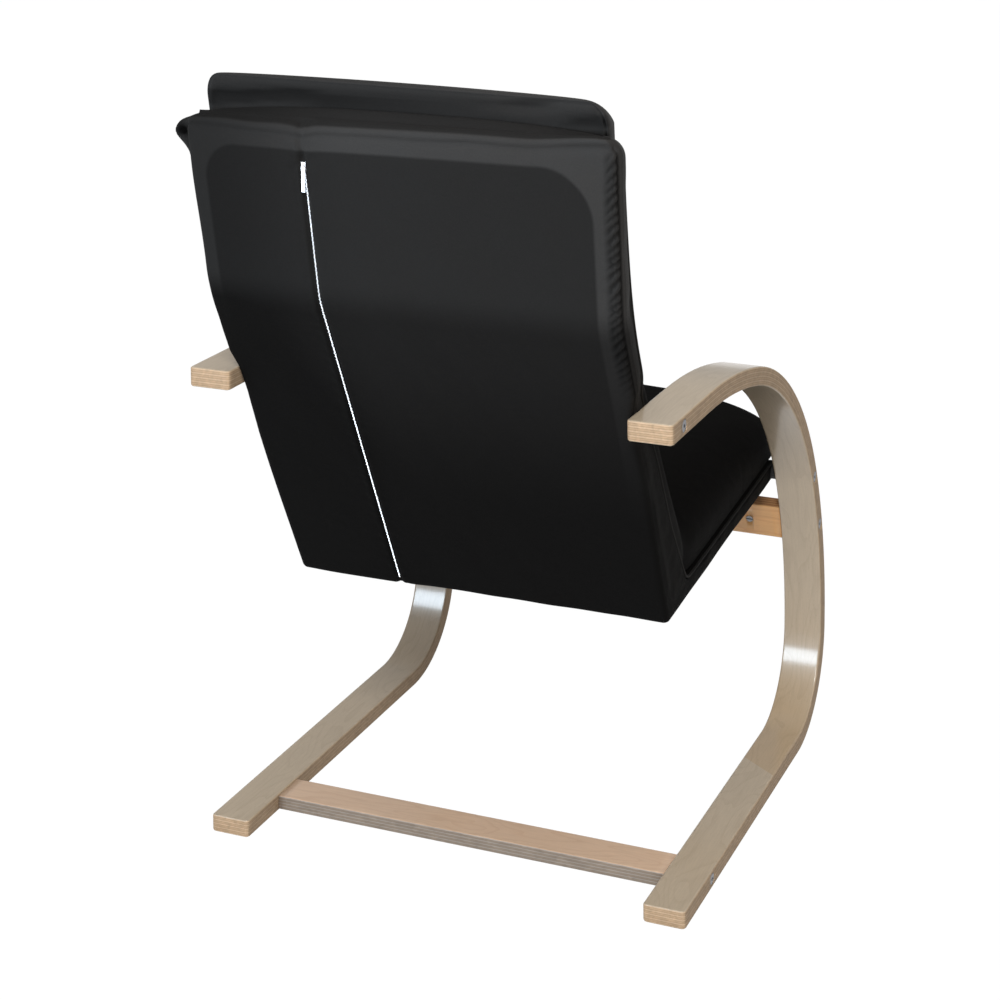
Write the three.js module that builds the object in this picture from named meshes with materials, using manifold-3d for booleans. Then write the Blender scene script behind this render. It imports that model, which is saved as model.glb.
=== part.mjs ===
// Bentwood lounge chair: two C-shaped laminated side frames carry a padded seat and back unit.
// Millimetres, +Z up. The sitter faces -Y and +X is the sitter's left. While the pieces are laid out,
// y is 0 at the rear ends of the runners; at the end the whole chair moves to its bottom centre.
import * as THREE from 'three';
import { mergeVertices } from 'three/addons/utils/BufferGeometryUtils.js';
import Module from 'manifold-3d';

const wasm = await Module();
wasm.setup();

// Bent strips of the side frames
const stripWidth = 54;
const stripThickness = 24;
const stripRounding = 2.5;
const floorWidth = 646;
const toeIn = 22;
const runnerRun = 513;
const frontBendRadius = 140;
const uprightRadius = 555;
const uprightTurn = 26.6;
const shoulderRadius = 431;
const shoulderTurn = 50;
const armCurveRadius = 890;
const armRun = 137;
const flexTurn = 45;
const quarterTurn = 90;
const halfTurn = 180;
const turnPerStep = 6.5;

// Cross rails between the side frames
const floorRailSetback = 82;
const floorRailWidth = 54;
const floorRailThickness = 20;
const floorRailLift = 2;
const frontRailWidth = 54;
const frontRailThickness = 22;
const frontRailDrop = 79;
const railRounding = 2;

// Bolts, barrel nuts, inserts and spacers
const boltRadius = 3;
const boltHeadRadius = 7.5;
const boltHeadThickness = 2.6;
const boltHeadSink = 0.3;
const socketRadius = 2.4;
const socketDepth = 1.6;
const nutRadius = 5;
const nutInset = 45;
const nutSlotWidth = 1.4;
const nutSlotDepth = 1.2;
const floorNutLength = 14;
const boltPastNut = 4;
const insertRadius = 5;
const insertLength = 22;
const spacerRadius = 10;
const seatBoltHeight = 386;
const armBoltInset = 40;

// Seat and back unit: the line down the middle of its frame, seen from the side
const unitDepth = 26;
const lowerBackLean = 25.8;
const upperBackLean = 9.6;
const backBendAboveArm = 138;
const upperBackRun = 203;
const seatRun = 470;
const seatRise = 43;
const seatNose = 18;
const topFlare = 3;

// Fabric sleeve over the frame, with its side panels widened where back and seat meet
const sleeveWall = 3;
const gussetForward = 52;
const gussetUp = 400;
const gussetHollow = 8;
const gussetHollowShare = 0.72;

// Inner frame and webbing
const sideRailWidth = 42;
const crossRailWidth = 45;
const crossRailThickness = 14;
const railCornerRadius = 20;
const strapWidth = 50;
const strapThickness = 1.6;
const strapOverlap = 30;
const backStrapSpanShares = [0.07, 0.26, 0.45, 0.64, 0.83];
const seatStrapSpanShares = [0.2, 0.4, 0.6, 0.8];

// Front cushion, one long pad from the top of the back to the front of the seat
const cushionSideGap = 10;
const cushionSeatGap = 2;
const cushionThickness = 88;
const cushionRise = 38;
const cushionTopRound = 34;
const cushionNoseRound = 28;
const cushionNoseOverhang = 16;
const cushionCornerRound = 30;
const cushionNoseCornerRound = 14;
const cushionPinch = 3;
const cushionBackBend = 30;
const cushionCrease = 26;
const cushionCrownShare = 0.2;
const cushionLipShare = 0.14;
const cushionRimShare = 0.2;
const cushionSidePower = 0.34;
const cushionFrontSidePower = 0.5;
const cushionFacePower = 0.62;

// Zip in the rear panel of the sleeve
const zipFromCentre = 108;
const zipTopDrop = 37;
const zipBottomRise = 10;
const zipSlotWidth = 6;
const chainWidth = 3;
const tapeWidth = 24;
const tapeThickness = 0.8;
const sliderLength = 11;
const sliderWidth = 5.4;
const sliderPlate = 1.4;
const sliderFlange = 0.8;
const sliderFlangeDrop = 1.2;
const bailWidth = 1.2;
const bailLength = 6;
const bailHeight = 3;
const bailBore = 0.8;
const pullPinRadius = 0.5;
const pullWidth = 3.8;
const pullPlate = 1;
const pullLength = 27;
const pullArmLength = 4;

// Clearances
const touchGap = 0.3;
const boltGap = 0.4;
const cutOverrun = 5;

// Facets
const roundSteps = 16;
const hexSides = 6;
const cushionSectionSteps = 24;
const cushionEndSteps = 4;
const cushionArcSteps = 5;
const cushionRunSteps = 3;

const degree = Math.PI / halfTurn;
const half = 0.5;

// Materials
function wood(color, roughness) {
  return new THREE.MeshStandardMaterial({ color, roughness, metalness: 0 });
}

function metal(color, roughness) {
  return new THREE.MeshStandardMaterial({ color, roughness, metalness: 1 });
}

function cloth(color) {
  return new THREE.MeshStandardMaterial({ color, roughness: 0.92, metalness: 0 });
}

const finishes = {
  birch: () => wood(0xcdbb9c, 0.42),
  railBirch: () => wood(0xd8b084, 0.42),
  frontBirch: () => wood(0xc98f52, 0.45),
  innerBeech: () => wood(0xc9a877, 0.6),
  steel: () => metal(0x9a9a98, 0.35),
  darkSteel: () => metal(0x4c4c4e, 0.4),
  nylon: () => new THREE.MeshStandardMaterial({ color: 0x151515, roughness: 0.6, metalness: 0 }),
  cotton: () => cloth(0x1c1c1d),
  webbing: () => cloth(0x2b2a28),
  zipTape: () => cloth(0xb9b9b6),
};

const chair = new THREE.Group();

function addPiece(name, geometry, material, parent = chair) {
  const mesh = new THREE.Mesh(geometry, material);
  mesh.name = name;
  parent.add(mesh);
  return mesh;
}

// Solids: a closed mesh becomes a body that can be joined and cut, and comes back as a mesh
function bareGeometry(geometry) {
  const bare = geometry.clone();
  bare.deleteAttribute('normal');
  bare.deleteAttribute('uv');
  return mergeVertices(bare);
}

function toBody(geometry) {
  const bare = bareGeometry(geometry);
  const vertProperties = new Float32Array(bare.attributes.position.array);
  const triVerts = new Uint32Array(bare.index.array);
  return new wasm.Manifold(new wasm.Mesh({ numProp: 3, vertProperties, triVerts }));
}

function toGeometry(body) {
  const mesh = body.getMesh();
  const geometry = new THREE.BufferGeometry();
  geometry.setAttribute('position', new THREE.BufferAttribute(mesh.vertProperties, 3));
  geometry.setIndex(new THREE.BufferAttribute(mesh.triVerts, 1));
  geometry.computeVertexNormals();
  return geometry;
}

function cut(geometry, cutters) {
  let body = toBody(geometry);
  for (const cutter of cutters) {
    body = body.subtract(toBody(cutter));
  }
  return toGeometry(body);
}

function join(geometries) {
  let body = toBody(geometries[0]);
  for (const other of geometries.slice(1)) {
    body = body.add(toBody(other));
  }
  return toGeometry(body);
}

// Flat geometry in the side view: points are Vector2(y, z)
function point(y, z) {
  return new THREE.Vector2(y, z);
}

function leanDirection(lean) {
  return point(Math.sin(lean * degree), Math.cos(lean * degree));
}

function step(from, direction, distance) {
  return from.clone().addScaledVector(direction, distance);
}

function crossing(p, directionP, q, directionQ) {
  const along = q.clone().sub(p).cross(directionQ) / directionP.cross(directionQ);
  return step(p, directionP, along);
}

function rightOf(direction) {
  return point(direction.y, -direction.x);
}

// A line of points moved sideways: to the right of its course where the distance is positive
function offsetLine(points, distance) {
  const legs = points.slice(1).map((next, i) => next.clone().sub(points[i]).normalize());
  return points.map((corner, i) => {
    const before = legs[Math.max(i - 1, 0)];
    const after = legs[Math.min(i, legs.length - 1)];
    const side = rightOf(before).add(rightOf(after)).normalize();
    return step(corner, side, distance / side.dot(rightOf(before)));
  });
}

// A closed outline drawn inwards by a wall
function insetOutline(outline, wall) {
  const inward = THREE.ShapeUtils.area(outline) > 0 ? -wall : wall;
  return outline.map((corner, i) => {
    const before = outline[(i + outline.length - 1) % outline.length];
    const after = outline[(i + 1) % outline.length];
    const sideIn = rightOf(corner.clone().sub(before).normalize());
    const sideOut = rightOf(after.clone().sub(corner).normalize());
    const side = sideIn.clone().add(sideOut).normalize();
    return step(corner, side, inward / side.dot(sideIn));
  });
}

// The corner of a line replaced by an arc that touches both of its legs
function roundedCorner(before, corner, after, radius, steps) {
  const back = before.clone().sub(corner).normalize();
  const ahead = after.clone().sub(corner).normalize();
  const halfAngle = Math.acos(back.dot(ahead)) * half;
  const start = step(corner, back, radius / Math.tan(halfAngle));
  const bisector = back.clone().add(ahead).normalize();
  const centre = step(corner, bisector, radius / Math.sin(halfAngle));
  const from = start.clone().sub(centre).angle();
  const turnSign = Math.sign(back.cross(ahead));
  const sweep = (Math.PI - halfAngle - halfAngle) * turnSign;
  const arc = [];
  for (let i = 0; i <= steps; i += 1) {
    const angle = from - sweep * (i / steps);
    arc.push(step(centre, point(Math.cos(angle), Math.sin(angle)), radius));
  }
  return arc;
}

// Bodies laid across the chair: an outline in the side view, drawn out along X
const acrossChair = new THREE.Matrix4().makeBasis(
  new THREE.Vector3(0, 1, 0),
  new THREE.Vector3(0, 0, 1),
  new THREE.Vector3(1, 0, 0),
);

function plank(outline, fromX, toX, rounding = 0) {
  const geometry = new THREE.ExtrudeGeometry(new THREE.Shape(outline), {
    depth: toX - fromX - rounding - rounding,
    bevelEnabled: rounding > 0,
    bevelThickness: rounding,
    bevelSize: rounding,
    bevelOffset: -rounding,
    bevelSegments: 2,
    curveSegments: roundSteps,
  });
  geometry.translate(0, 0, fromX + rounding);
  geometry.applyMatrix4(acrossChair);
  return geometry;
}

// A round bar along X
function crossBar(radius, fromX, toX, centre, sides = roundSteps) {
  const geometry = new THREE.CylinderGeometry(radius, radius, Math.abs(toX - fromX), sides);
  geometry.rotateZ(quarterTurn * degree);
  geometry.translate((fromX + toX) * half, centre.x, centre.y);
  return geometry;
}

// The side frames lean in: their x at a height above the floor
function stripReach() {
  const start = { s: 0, z: 0, heading: 0 };
  const runner = walk(start, runnerLegs());
  const seam = walk(runner[runner.length - 1], [{ radius: frontBendRadius, turn: flexGapTurn }]);
  const upright = walk(seam[seam.length - 1], uprightLegs());
  return { runner, upright };
}

const flexGapTurn = touchGap / frontBendRadius / degree;

function runnerLegs() {
  return [
    { run: runnerRun },
    { radius: frontBendRadius, turn: flexTurn - flexGapTurn * half },
  ];
}

function uprightLegs() {
  return [
    { radius: frontBendRadius, turn: quarterTurn - flexTurn - flexGapTurn * half },
    { radius: uprightRadius, turn: uprightTurn },
    { radius: shoulderRadius, turn: shoulderTurn },
    { radius: armCurveRadius, turn: quarterTurn - uprightTurn - shoulderTurn },
    { run: armRun },
  ];
}

// Stations along the outer face of a strip: forward distance s, height z and heading in degrees
function walk(start, legs) {
  const stations = [start];
  let { s, z, heading } = start;
  for (const leg of legs) {
    const steps = leg.turn ? Math.ceil(leg.turn / turnPerStep) : 1;
    for (let i = 0; i < steps; i += 1) {
      const next = heading + (leg.turn || 0) / steps;
      if (leg.turn) {
        s += leg.radius * (Math.sin(next * degree) - Math.sin(heading * degree));
        z += leg.radius * (Math.cos(heading * degree) - Math.cos(next * degree));
      } else {
        s += leg.run * Math.cos(heading * degree);
        z += leg.run * Math.sin(heading * degree);
      }
      heading = next;
      stations.push({ s, z, heading });
    }
  }
  return stations;
}

// A place in the strip, a depth in from the outer face at one station
function inStrip(station, depth) {
  const { s, z, heading } = station;
  const forward = s - depth * Math.sin(heading * degree);
  return point(-forward, z + depth * Math.cos(heading * degree));
}

function stripOutline(stations) {
  const outer = stations.map((station) => inStrip(station, 0));
  const inner = stations.map((station) => inStrip(station, stripThickness));
  return [...outer, ...inner.reverse()];
}

const strip = stripReach();
const armEnd = strip.upright[strip.upright.length - 1];
const armHeight = armEnd.z;

function frameOuterX(height) {
  return floorWidth * half - toeIn * (height / armHeight);
}

function frameInnerX(height) {
  return frameOuterX(height) - stripWidth;
}

// Slants a piece of one side with its frame
function leanFrame(geometry, side) {
  const places = geometry.attributes.position;
  for (let i = 0; i < places.count; i += 1) {
    places.setX(i, places.getX(i) - side * toeIn * (places.getZ(i) / armHeight));
  }
  return geometry;
}

// Fits the two ends of a rail to the leaning inner faces of the frames
function fitBetweenFrames(geometry) {
  const places = geometry.attributes.position;
  for (let i = 0; i < places.count; i += 1) {
    const reach = frameInnerX(places.getZ(i)) - touchGap;
    places.setX(i, Math.sign(places.getX(i)) * reach);
  }
  return geometry;
}

// The middle of the strip at a height, found between two stations of the upright
function middleAtHeight(height) {
  const middles = strip.upright.map((station) => inStrip(station, stripThickness * half));
  const i = middles.findIndex((place, k) => k > 0 && place.y >= height);
  const share = (height - middles[i - 1].y) / (middles[i].y - middles[i - 1].y);
  const place = middles[i - 1].clone().lerp(middles[i], share);
  const before = strip.upright[i - 1].heading;
  return { place, heading: before + (strip.upright[i].heading - before) * share };
}

// Bolt places, seen from the side
const floorBolt = point(-floorRailSetback - floorRailWidth * half, stripThickness * half);
const railSeat = middleAtHeight(seatBoltHeight - frontRailDrop);
const railBolt = railSeat.place;
const seatBolt = middleAtHeight(seatBoltHeight).place;
const armBolt = point(-armEnd.s - armBoltInset, armHeight - stripThickness * half);
const sides = [{ side: 1, word: 'left' }, { side: -1, word: 'right' }];

// A bolt with a flat round head and a hexagon socket; the head lies in its counterbore
function boltGeometry(side, place, tipX) {
  const headX = frameOuterX(place.y) - boltHeadSink;
  const length = headX - tipX;
  const shank = length - boltHeadThickness;
  const profile = [
    new THREE.Vector2(0, 0),
    new THREE.Vector2(boltRadius, 0),
    new THREE.Vector2(boltRadius, shank),
    new THREE.Vector2(boltHeadRadius, shank),
    new THREE.Vector2(boltHeadRadius, length),
    new THREE.Vector2(0, length),
  ];
  const turned = new THREE.LatheGeometry(profile, roundSteps);
  const socket = new THREE.CylinderGeometry(socketRadius, socketRadius, socketDepth, hexSides);
  socket.translate(0, length - socketDepth * half, 0);
  const drilled = cut(turned, [socket]);
  drilled.rotateZ(-side * quarterTurn * degree);
  drilled.translate(side * tipX, place.x, place.y);
  return drilled;
}

// The hole and counterbore that a bolt needs in its frame
function boltCutters(side, place) {
  const outer = frameOuterX(place.y);
  const floorOfBore = outer - boltHeadSink - boltHeadThickness - touchGap;
  const past = outer - stripWidth - cutOverrun;
  return [
    crossBar(boltRadius + boltGap, side * past, side * (outer + cutOverrun), place),
    crossBar(boltHeadRadius + boltGap, side * floorOfBore, side * (outer + cutOverrun), place),
  ];
}

function buildFrames() {
  for (const { side, word } of sides) {
    const innerX = floorWidth * half - stripWidth;
    const outerX = floorWidth * half;
    const fromX = Math.min(side * innerX, side * outerX);
    const toX = Math.max(side * innerX, side * outerX);
    const runner = leanFrame(plank(stripOutline(strip.runner), fromX, toX, stripRounding), side);
    const upright = leanFrame(plank(stripOutline(strip.upright), fromX, toX, stripRounding), side);
    const uprightCutters = [railBolt, seatBolt, armBolt].flatMap((place) => boltCutters(side, place));
    addPiece(`${word}_runner`, cut(runner, boltCutters(side, floorBolt)), finishes.birch());
    addPiece(`${word}_upright_arm`, cut(upright, uprightCutters), finishes.birch());
  }
}

// A rail with rounded long edges, seen from its end
function railOutline(centre, along, width, thickness) {
  const across = rightOf(along);
  const corners = [[-1, -1], [1, -1], [1, 1], [-1, 1]].map(([a, b]) => {
    const end = step(centre, along, a * width * half);
    return step(end, across, b * thickness * half);
  });
  return corners.flatMap((corner, i) => {
    const before = corners[(i + 3) % corners.length];
    const after = corners[(i + 1) % corners.length];
    return roundedCorner(before, corner, after, railRounding, 2);
  });
}

// A barrel nut: a short pin with a cross bore for the bolt and a screwdriver slot in its end
function barrelNut(length, boreDrop) {
  const pin = new THREE.CylinderGeometry(nutRadius, nutRadius, length, roundSteps);
  const bore = new THREE.CylinderGeometry(
    boltRadius + touchGap,
    boltRadius + touchGap,
    nutRadius + nutRadius + cutOverrun,
    roundSteps,
  );
  bore.rotateZ(quarterTurn * degree);
  bore.translate(0, -boreDrop, 0);
  const slot = new THREE.BoxGeometry(
    nutRadius + nutRadius + cutOverrun,
    nutSlotDepth + nutSlotDepth,
    nutSlotWidth,
  );
  slot.translate(0, length * half, 0);
  return cut(pin, [bore, slot]);
}

// A rail bolted between the frames, with a barrel nut let into one face near each end
function buildRail(name, centre, along, sizes, nutLength, nutFace, finish) {
  const outline = railOutline(centre, along, sizes.width, sizes.thickness);
  const reach = frameInnerX(centre.y);
  const rail = fitBetweenFrames(plank(outline, -reach, reach));
  const nutX = reach - nutInset;
  const tipX = nutX - nutRadius - boltPastNut;
  const faceAngle = nutFace.angle();
  const nutRise = sizes.thickness * half - nutLength * half - boltHeadSink;
  const nutCentre = step(centre, nutFace, nutRise);
  const cutters = [];
  const nuts = [];
  for (const { side } of sides) {
    cutters.push(crossBar(
      boltRadius + boltGap,
      side * (tipX - boltPastNut),
      side * (reach + cutOverrun),
      centre,
    ));
    const pocket = new THREE.CylinderGeometry(
      nutRadius + touchGap,
      nutRadius + touchGap,
      nutLength + cutOverrun + touchGap,
      roundSteps,
    );
    pocket.translate(0, (cutOverrun - touchGap) * half, 0);
    pocket.rotateX(faceAngle);
    pocket.translate(side * nutX, nutCentre.x, nutCentre.y);
    cutters.push(pocket);
    const nut = barrelNut(nutLength, nutRise);
    nut.rotateX(faceAngle);
    nut.translate(side * nutX, nutCentre.x, nutCentre.y);
    nuts.push(nut);
  }
  addPiece(`${name}_rail`, cut(rail, cutters), finish);
  sides.forEach(({ side, word }, i) => {
    addPiece(`${word}_${name}_nut`, nuts[i], finishes.steel());
    addPiece(`${word}_${name}_bolt`, boltGeometry(side, centre, tipX), finishes.darkSteel());
  });
}

function buildRails() {
  const floorCentre = point(floorBolt.x, floorRailLift + floorRailThickness * half);
  const floorSizes = { width: floorRailWidth, thickness: floorRailThickness };
  const down = point(0, -1);
  buildRail('floor', floorCentre, point(1, 0), floorSizes, floorNutLength, down, finishes.railBirch());
  const climb = point(-Math.cos(railSeat.heading * degree), Math.sin(railSeat.heading * degree));
  const frontSizes = { width: frontRailWidth, thickness: frontRailThickness };
  const rearward = rightOf(climb);
  const nutLength = frontRailThickness - touchGap - touchGap - boltHeadSink;
  buildRail('front', railBolt, climb, frontSizes, nutLength, rearward, finishes.frontBirch());
}

// The middle line of the seat and back unit: top, bend of the back, corner and front end
function unitMiddle() {
  const lowerUp = leanDirection(lowerBackLean);
  const upperUp = leanDirection(upperBackLean);
  const seatForward = point(-seatRun, seatRise).normalize();
  const bend = step(armBolt, lowerUp, backBendAboveArm);
  const top = step(bend, upperUp, upperBackRun);
  const corner = crossing(armBolt, lowerUp, seatBolt, seatForward);
  const nose = step(seatBolt, seatForward, seatNose);
  return [top, bend, corner, nose];
}

// From the top down the unit runs forward at the end, so its rear face is on the left of its course
const unitLine = unitMiddle();
const rearLine = offsetLine(unitLine, -unitDepth * half);
const armClearX = frameInnerX(armHeight) - touchGap;

// Front face of the sleeve, with the side panels widened in the corner of back and seat
function sleeveFront() {
  const [top, bend, corner, nose] = offsetLine(unitLine, unitDepth * half);
  const forward = nose.clone().sub(corner).normalize();
  const upward = bend.clone().sub(corner).normalize();
  const vee = step(corner, forward, gussetForward);
  const shoulder = step(corner, upward, gussetUp);
  const slope = vee.clone().sub(shoulder).normalize();
  const knee = step(shoulder.clone().lerp(vee, gussetHollowShare), rightOf(slope), -gussetHollow);
  return [top, bend, shoulder, knee, vee, nose];
}

const frontLine = sleeveFront();
const sleeveOutline = [...rearLine, ...[...frontLine].reverse()];

// Widens a piece towards the top of the back, above the arms
function flareTop(geometry) {
  const top = unitLine[0].y;
  const places = geometry.attributes.position;
  for (let i = 0; i < places.count; i += 1) {
    const share = Math.max(0, (places.getZ(i) - unitLine[1].y) / (top - unitLine[1].y));
    places.setX(i, places.getX(i) + Math.sign(places.getX(i)) * topFlare * Math.min(share, 1));
  }
  return geometry;
}

// Zip course on the rear face, a depth in from that face
function zipCourse(depth) {
  const [top, bend, corner] = offsetLine(unitLine, depth - unitDepth * half);
  const down = bend.clone().sub(top).normalize();
  const low = corner.clone().sub(bend).normalize();
  return [step(top, down, zipTopDrop), bend, step(corner, low, -zipBottomRise)];
}

function band(outerDepth, innerDepth) {
  return [...zipCourse(outerDepth), ...zipCourse(innerDepth).reverse()];
}

function buildSleeve() {
  const outer = flareTop(plank(sleeveOutline, -armClearX, armClearX));
  const innerX = armClearX - sleeveWall;
  const cavity = flareTop(plank(insetOutline(sleeveOutline, sleeveWall), -innerX, innerX));
  const slotX = zipSlotWidth * half;
  const slot = plank(band(-cutOverrun, sleeveWall + touchGap), zipFromCentre - slotX, zipFromCentre + slotX);
  const holes = [seatBolt, armBolt].flatMap((place) => sides.map(({ side }) => crossBar(
    boltRadius + boltGap,
    side * (armClearX - sleeveWall - cutOverrun),
    side * (armClearX + cutOverrun),
    place,
  )));
  addPiece('cover_sleeve', cut(outer, [cavity, slot, ...holes]), finishes.cotton());
}

// Depths inside the sleeve, from its rear face
const railRearDepth = sleeveWall + touchGap;
const railFrontDepth = unitDepth - sleeveWall - strapThickness - touchGap - touchGap;
const strapRearDepth = railFrontDepth + touchGap;
const strapFrontDepth = strapRearDepth + strapThickness - touchGap * half;
const crossFrontDepth = railFrontDepth;
const crossRearDepth = railFrontDepth - crossRailThickness;
const sideRailOuterX = armClearX - sleeveWall - touchGap;
const sideRailInnerX = sideRailOuterX - sideRailWidth;

function depthLine(depth) {
  return offsetLine(unitLine, depth - unitDepth * half);
}

function endInset(line, inset) {
  const [top, bend, corner, nose] = line;
  const down = bend.clone().sub(top).normalize();
  const rearward = corner.clone().sub(nose).normalize();
  return [step(top, down, inset), bend, corner, step(nose, rearward, inset)];
}

function buildSideRails() {
  const inset = sleeveWall + touchGap;
  const rear = endInset(depthLine(railRearDepth), inset);
  const front = endInset(depthLine(railFrontDepth), inset);
  const innerCorner = roundedCorner(front[1], front[2], front[3], railCornerRadius, 4);
  const outline = [...rear, front[3], ...innerCorner.reverse(), front[1], front[0]];
  for (const { side, word } of sides) {
    const fromX = Math.min(side * sideRailInnerX, side * sideRailOuterX);
    const toX = Math.max(side * sideRailInnerX, side * sideRailOuterX);
    const bores = [seatBolt, armBolt].map((place) => crossBar(
      insertRadius + touchGap,
      side * (sideRailOuterX - insertLength - touchGap),
      side * (sideRailOuterX + cutOverrun),
      place,
    ));
    addPiece(`${word}_side_rail`, cut(plank(outline, fromX, toX), bores), finishes.innerBeech());
  }
}

// A ring round a bolt, from one x to another
function ringGeometry(outerRadius, innerRadius, length) {
  const profile = [
    new THREE.Vector2(innerRadius, 0),
    new THREE.Vector2(outerRadius, 0),
    new THREE.Vector2(outerRadius, length),
    new THREE.Vector2(innerRadius, length),
    new THREE.Vector2(innerRadius, 0),
  ];
  return bareGeometry(new THREE.LatheGeometry(profile, roundSteps));
}

function addRing(name, side, place, radius, fromX, toX, material) {
  const ring = ringGeometry(radius, boltRadius + touchGap, toX - fromX);
  ring.rotateZ(-side * quarterTurn * degree);
  ring.translate(side * fromX, place.x, place.y);
  addPiece(name, ring, material);
}

function buildUnitFixings() {
  const insertInnerX = sideRailOuterX - insertLength;
  for (const { side, word } of sides) {
    for (const [kind, place] of [['seat', seatBolt], ['arm', armBolt]]) {
      const tipX = insertInnerX + touchGap;
      addPiece(`${word}_${kind}_bolt`, boltGeometry(side, place, tipX), finishes.darkSteel());
      addRing(
        `${word}_${kind}_insert`,
        side,
        place,
        insertRadius,
        insertInnerX,
        sideRailOuterX,
        finishes.steel(),
      );
    }
    const spacerOuterX = frameInnerX(seatBolt.y + spacerRadius) - touchGap;
    addRing(
      `${word}_seat_spacer`,
      side,
      seatBolt,
      spacerRadius,
      armClearX + touchGap,
      spacerOuterX,
      finishes.nylon(),
    );
  }
}

// A board or strap between two stations of a leg, from one depth to another
function legOutline(from, to, start, length, rearDepth, frontDepth) {
  const along = to.clone().sub(from).normalize();
  const inwards = rightOf(along);
  const near = step(from, along, start);
  const far = step(near, along, length);
  const rear = rearDepth - unitDepth * half;
  const front = frontDepth - unitDepth * half;
  return [
    step(near, inwards, rear),
    step(far, inwards, rear),
    step(far, inwards, front),
    step(near, inwards, front),
  ];
}

function buildCrossRails() {
  const [top, bend, corner, nose] = unitLine;
  const reach = sideRailInnerX - touchGap;
  const lowerLeg = corner.distanceTo(bend);
  const seatLeg = corner.distanceTo(nose);
  const inset = sleeveWall + touchGap;
  const rails = [
    ['top', top, bend, inset],
    ['lumbar', bend, corner, lowerLeg * half],
    ['corner', corner, nose, unitDepth + crossRailWidth],
    ['seat_front', corner, nose, seatLeg - crossRailWidth - inset],
  ];
  for (const [name, from, to, start] of rails) {
    const outline = legOutline(from, to, start, crossRailWidth, crossRearDepth, crossFrontDepth);
    addPiece(`${name}_cross_rail`, plank(outline, -reach, reach), finishes.innerBeech());
  }
}

function buildStraps() {
  const [top, bend, corner, nose] = unitLine;
  const reach = sideRailInnerX + strapOverlap;
  const upperLeg = top.distanceTo(bend);
  const backLength = upperLeg + bend.distanceTo(corner) - unitDepth - strapWidth;
  const depths = [strapRearDepth, strapFrontDepth];
  backStrapSpanShares.forEach((share, i) => {
    const along = share * backLength;
    const onUpper = along + strapWidth < upperLeg;
    const start = onUpper ? along : Math.max(along - upperLeg, unitDepth);
    const outline = onUpper
      ? legOutline(top, bend, start, strapWidth, ...depths)
      : legOutline(bend, corner, start, strapWidth, ...depths);
    addPiece(`back_strap_${i + 1}`, plank(outline, -reach, reach), finishes.webbing());
  });
  const seatLength = corner.distanceTo(nose) - strapWidth;
  seatStrapSpanShares.forEach((share, i) => {
    const outline = legOutline(corner, nose, share * seatLength, strapWidth, ...depths);
    addPiece(`seat_strap_${i + 1}`, plank(outline, -reach, reach), finishes.webbing());
  });
}

// Even places along one leg, without its last point
function evenPlaces(from, to, steps) {
  return Array.from({ length: steps }, (_, i) => from.clone().lerp(to, i / steps));
}

// Places along a face of the cushion, from its top to its nose, with one rounded corner
function cushionFace(line, radius) {
  const vee = line.length - 2;
  const arc = roundedCorner(line[vee - 1], line[vee], line[vee + 1], radius, cushionArcSteps);
  const places = [];
  for (let i = 0; i < vee - 1; i += 1) {
    places.push(...evenPlaces(line[i], line[i + 1], cushionRunSteps));
  }
  places.push(...evenPlaces(line[vee - 1], arc[0], cushionRunSteps));
  places.push(...arc.slice(0, -1));
  places.push(...evenPlaces(arc[arc.length - 1], line[vee + 1], cushionRunSteps + cushionRunSteps));
  places.push(line[vee + 1]);
  return places;
}

// Half the cushion's width at a height: it spreads to the sleeve's sides below the shoulder
function cushionHalfWidth(height) {
  const [, , shoulder, knee] = frontLine;
  const lowered = (shoulder.y - height) / (shoulder.y - knee.y);
  const spread = Math.min(Math.max(lowered, 0), 1);
  return armClearX - cushionSideGap + (cushionSideGap - cushionSeatGap) * spread;
}

// Rounds one end of the cushion: places from its full thickness down to its lip
function cushionEnd({ back, face, halfWidth }, outward, rounding, cornerRound) {
  const inward = face.clone().sub(back);
  const stations = [];
  for (let i = 1; i <= cushionEndSteps; i += 1) {
    const angle = quarterTurn * degree * (i / cushionEndSteps);
    const thin = cushionLipShare + (1 - cushionLipShare) * Math.cos(angle);
    const base = step(back, outward, rounding * Math.sin(angle));
    stations.push({
      back: base,
      face: base.clone().addScaledVector(inward, thin),
      halfWidth: halfWidth - cornerRound * (1 - Math.cos(angle)),
    });
  }
  return stations;
}

function cushionStations() {
  const line = offsetLine(frontLine, touchGap + touchGap);
  const up = line[0].clone().sub(line[1]).normalize();
  const forward = line[line.length - 1].clone().sub(line[line.length - 2]).normalize();
  line[0] = step(line[0], up, cushionRise - cushionTopRound);
  line[line.length - 1] = step(line[line.length - 1], forward, cushionNoseOverhang - cushionNoseRound);
  const backs = cushionFace(line, cushionBackBend);
  const faces = cushionFace(offsetLine(line, cushionThickness), cushionCrease);
  const creaseAt = cushionRunSteps * (line.length - 2) + cushionArcSteps * half;
  const body = backs.map((back, i) => {
    const nearCrease = Math.max(0, 1 - Math.abs(i - creaseAt) / cushionArcSteps);
    return { back, face: faces[i], halfWidth: cushionHalfWidth(back.y) - cushionPinch * nearCrease };
  });
  const topEnd = cushionEnd(body[0], up, cushionTopRound, cushionCornerRound);
  const noseEnd = cushionEnd(body[body.length - 1], forward, cushionNoseRound, cushionNoseCornerRound);
  return [...topEnd.reverse(), ...body, ...noseEnd];
}

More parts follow.
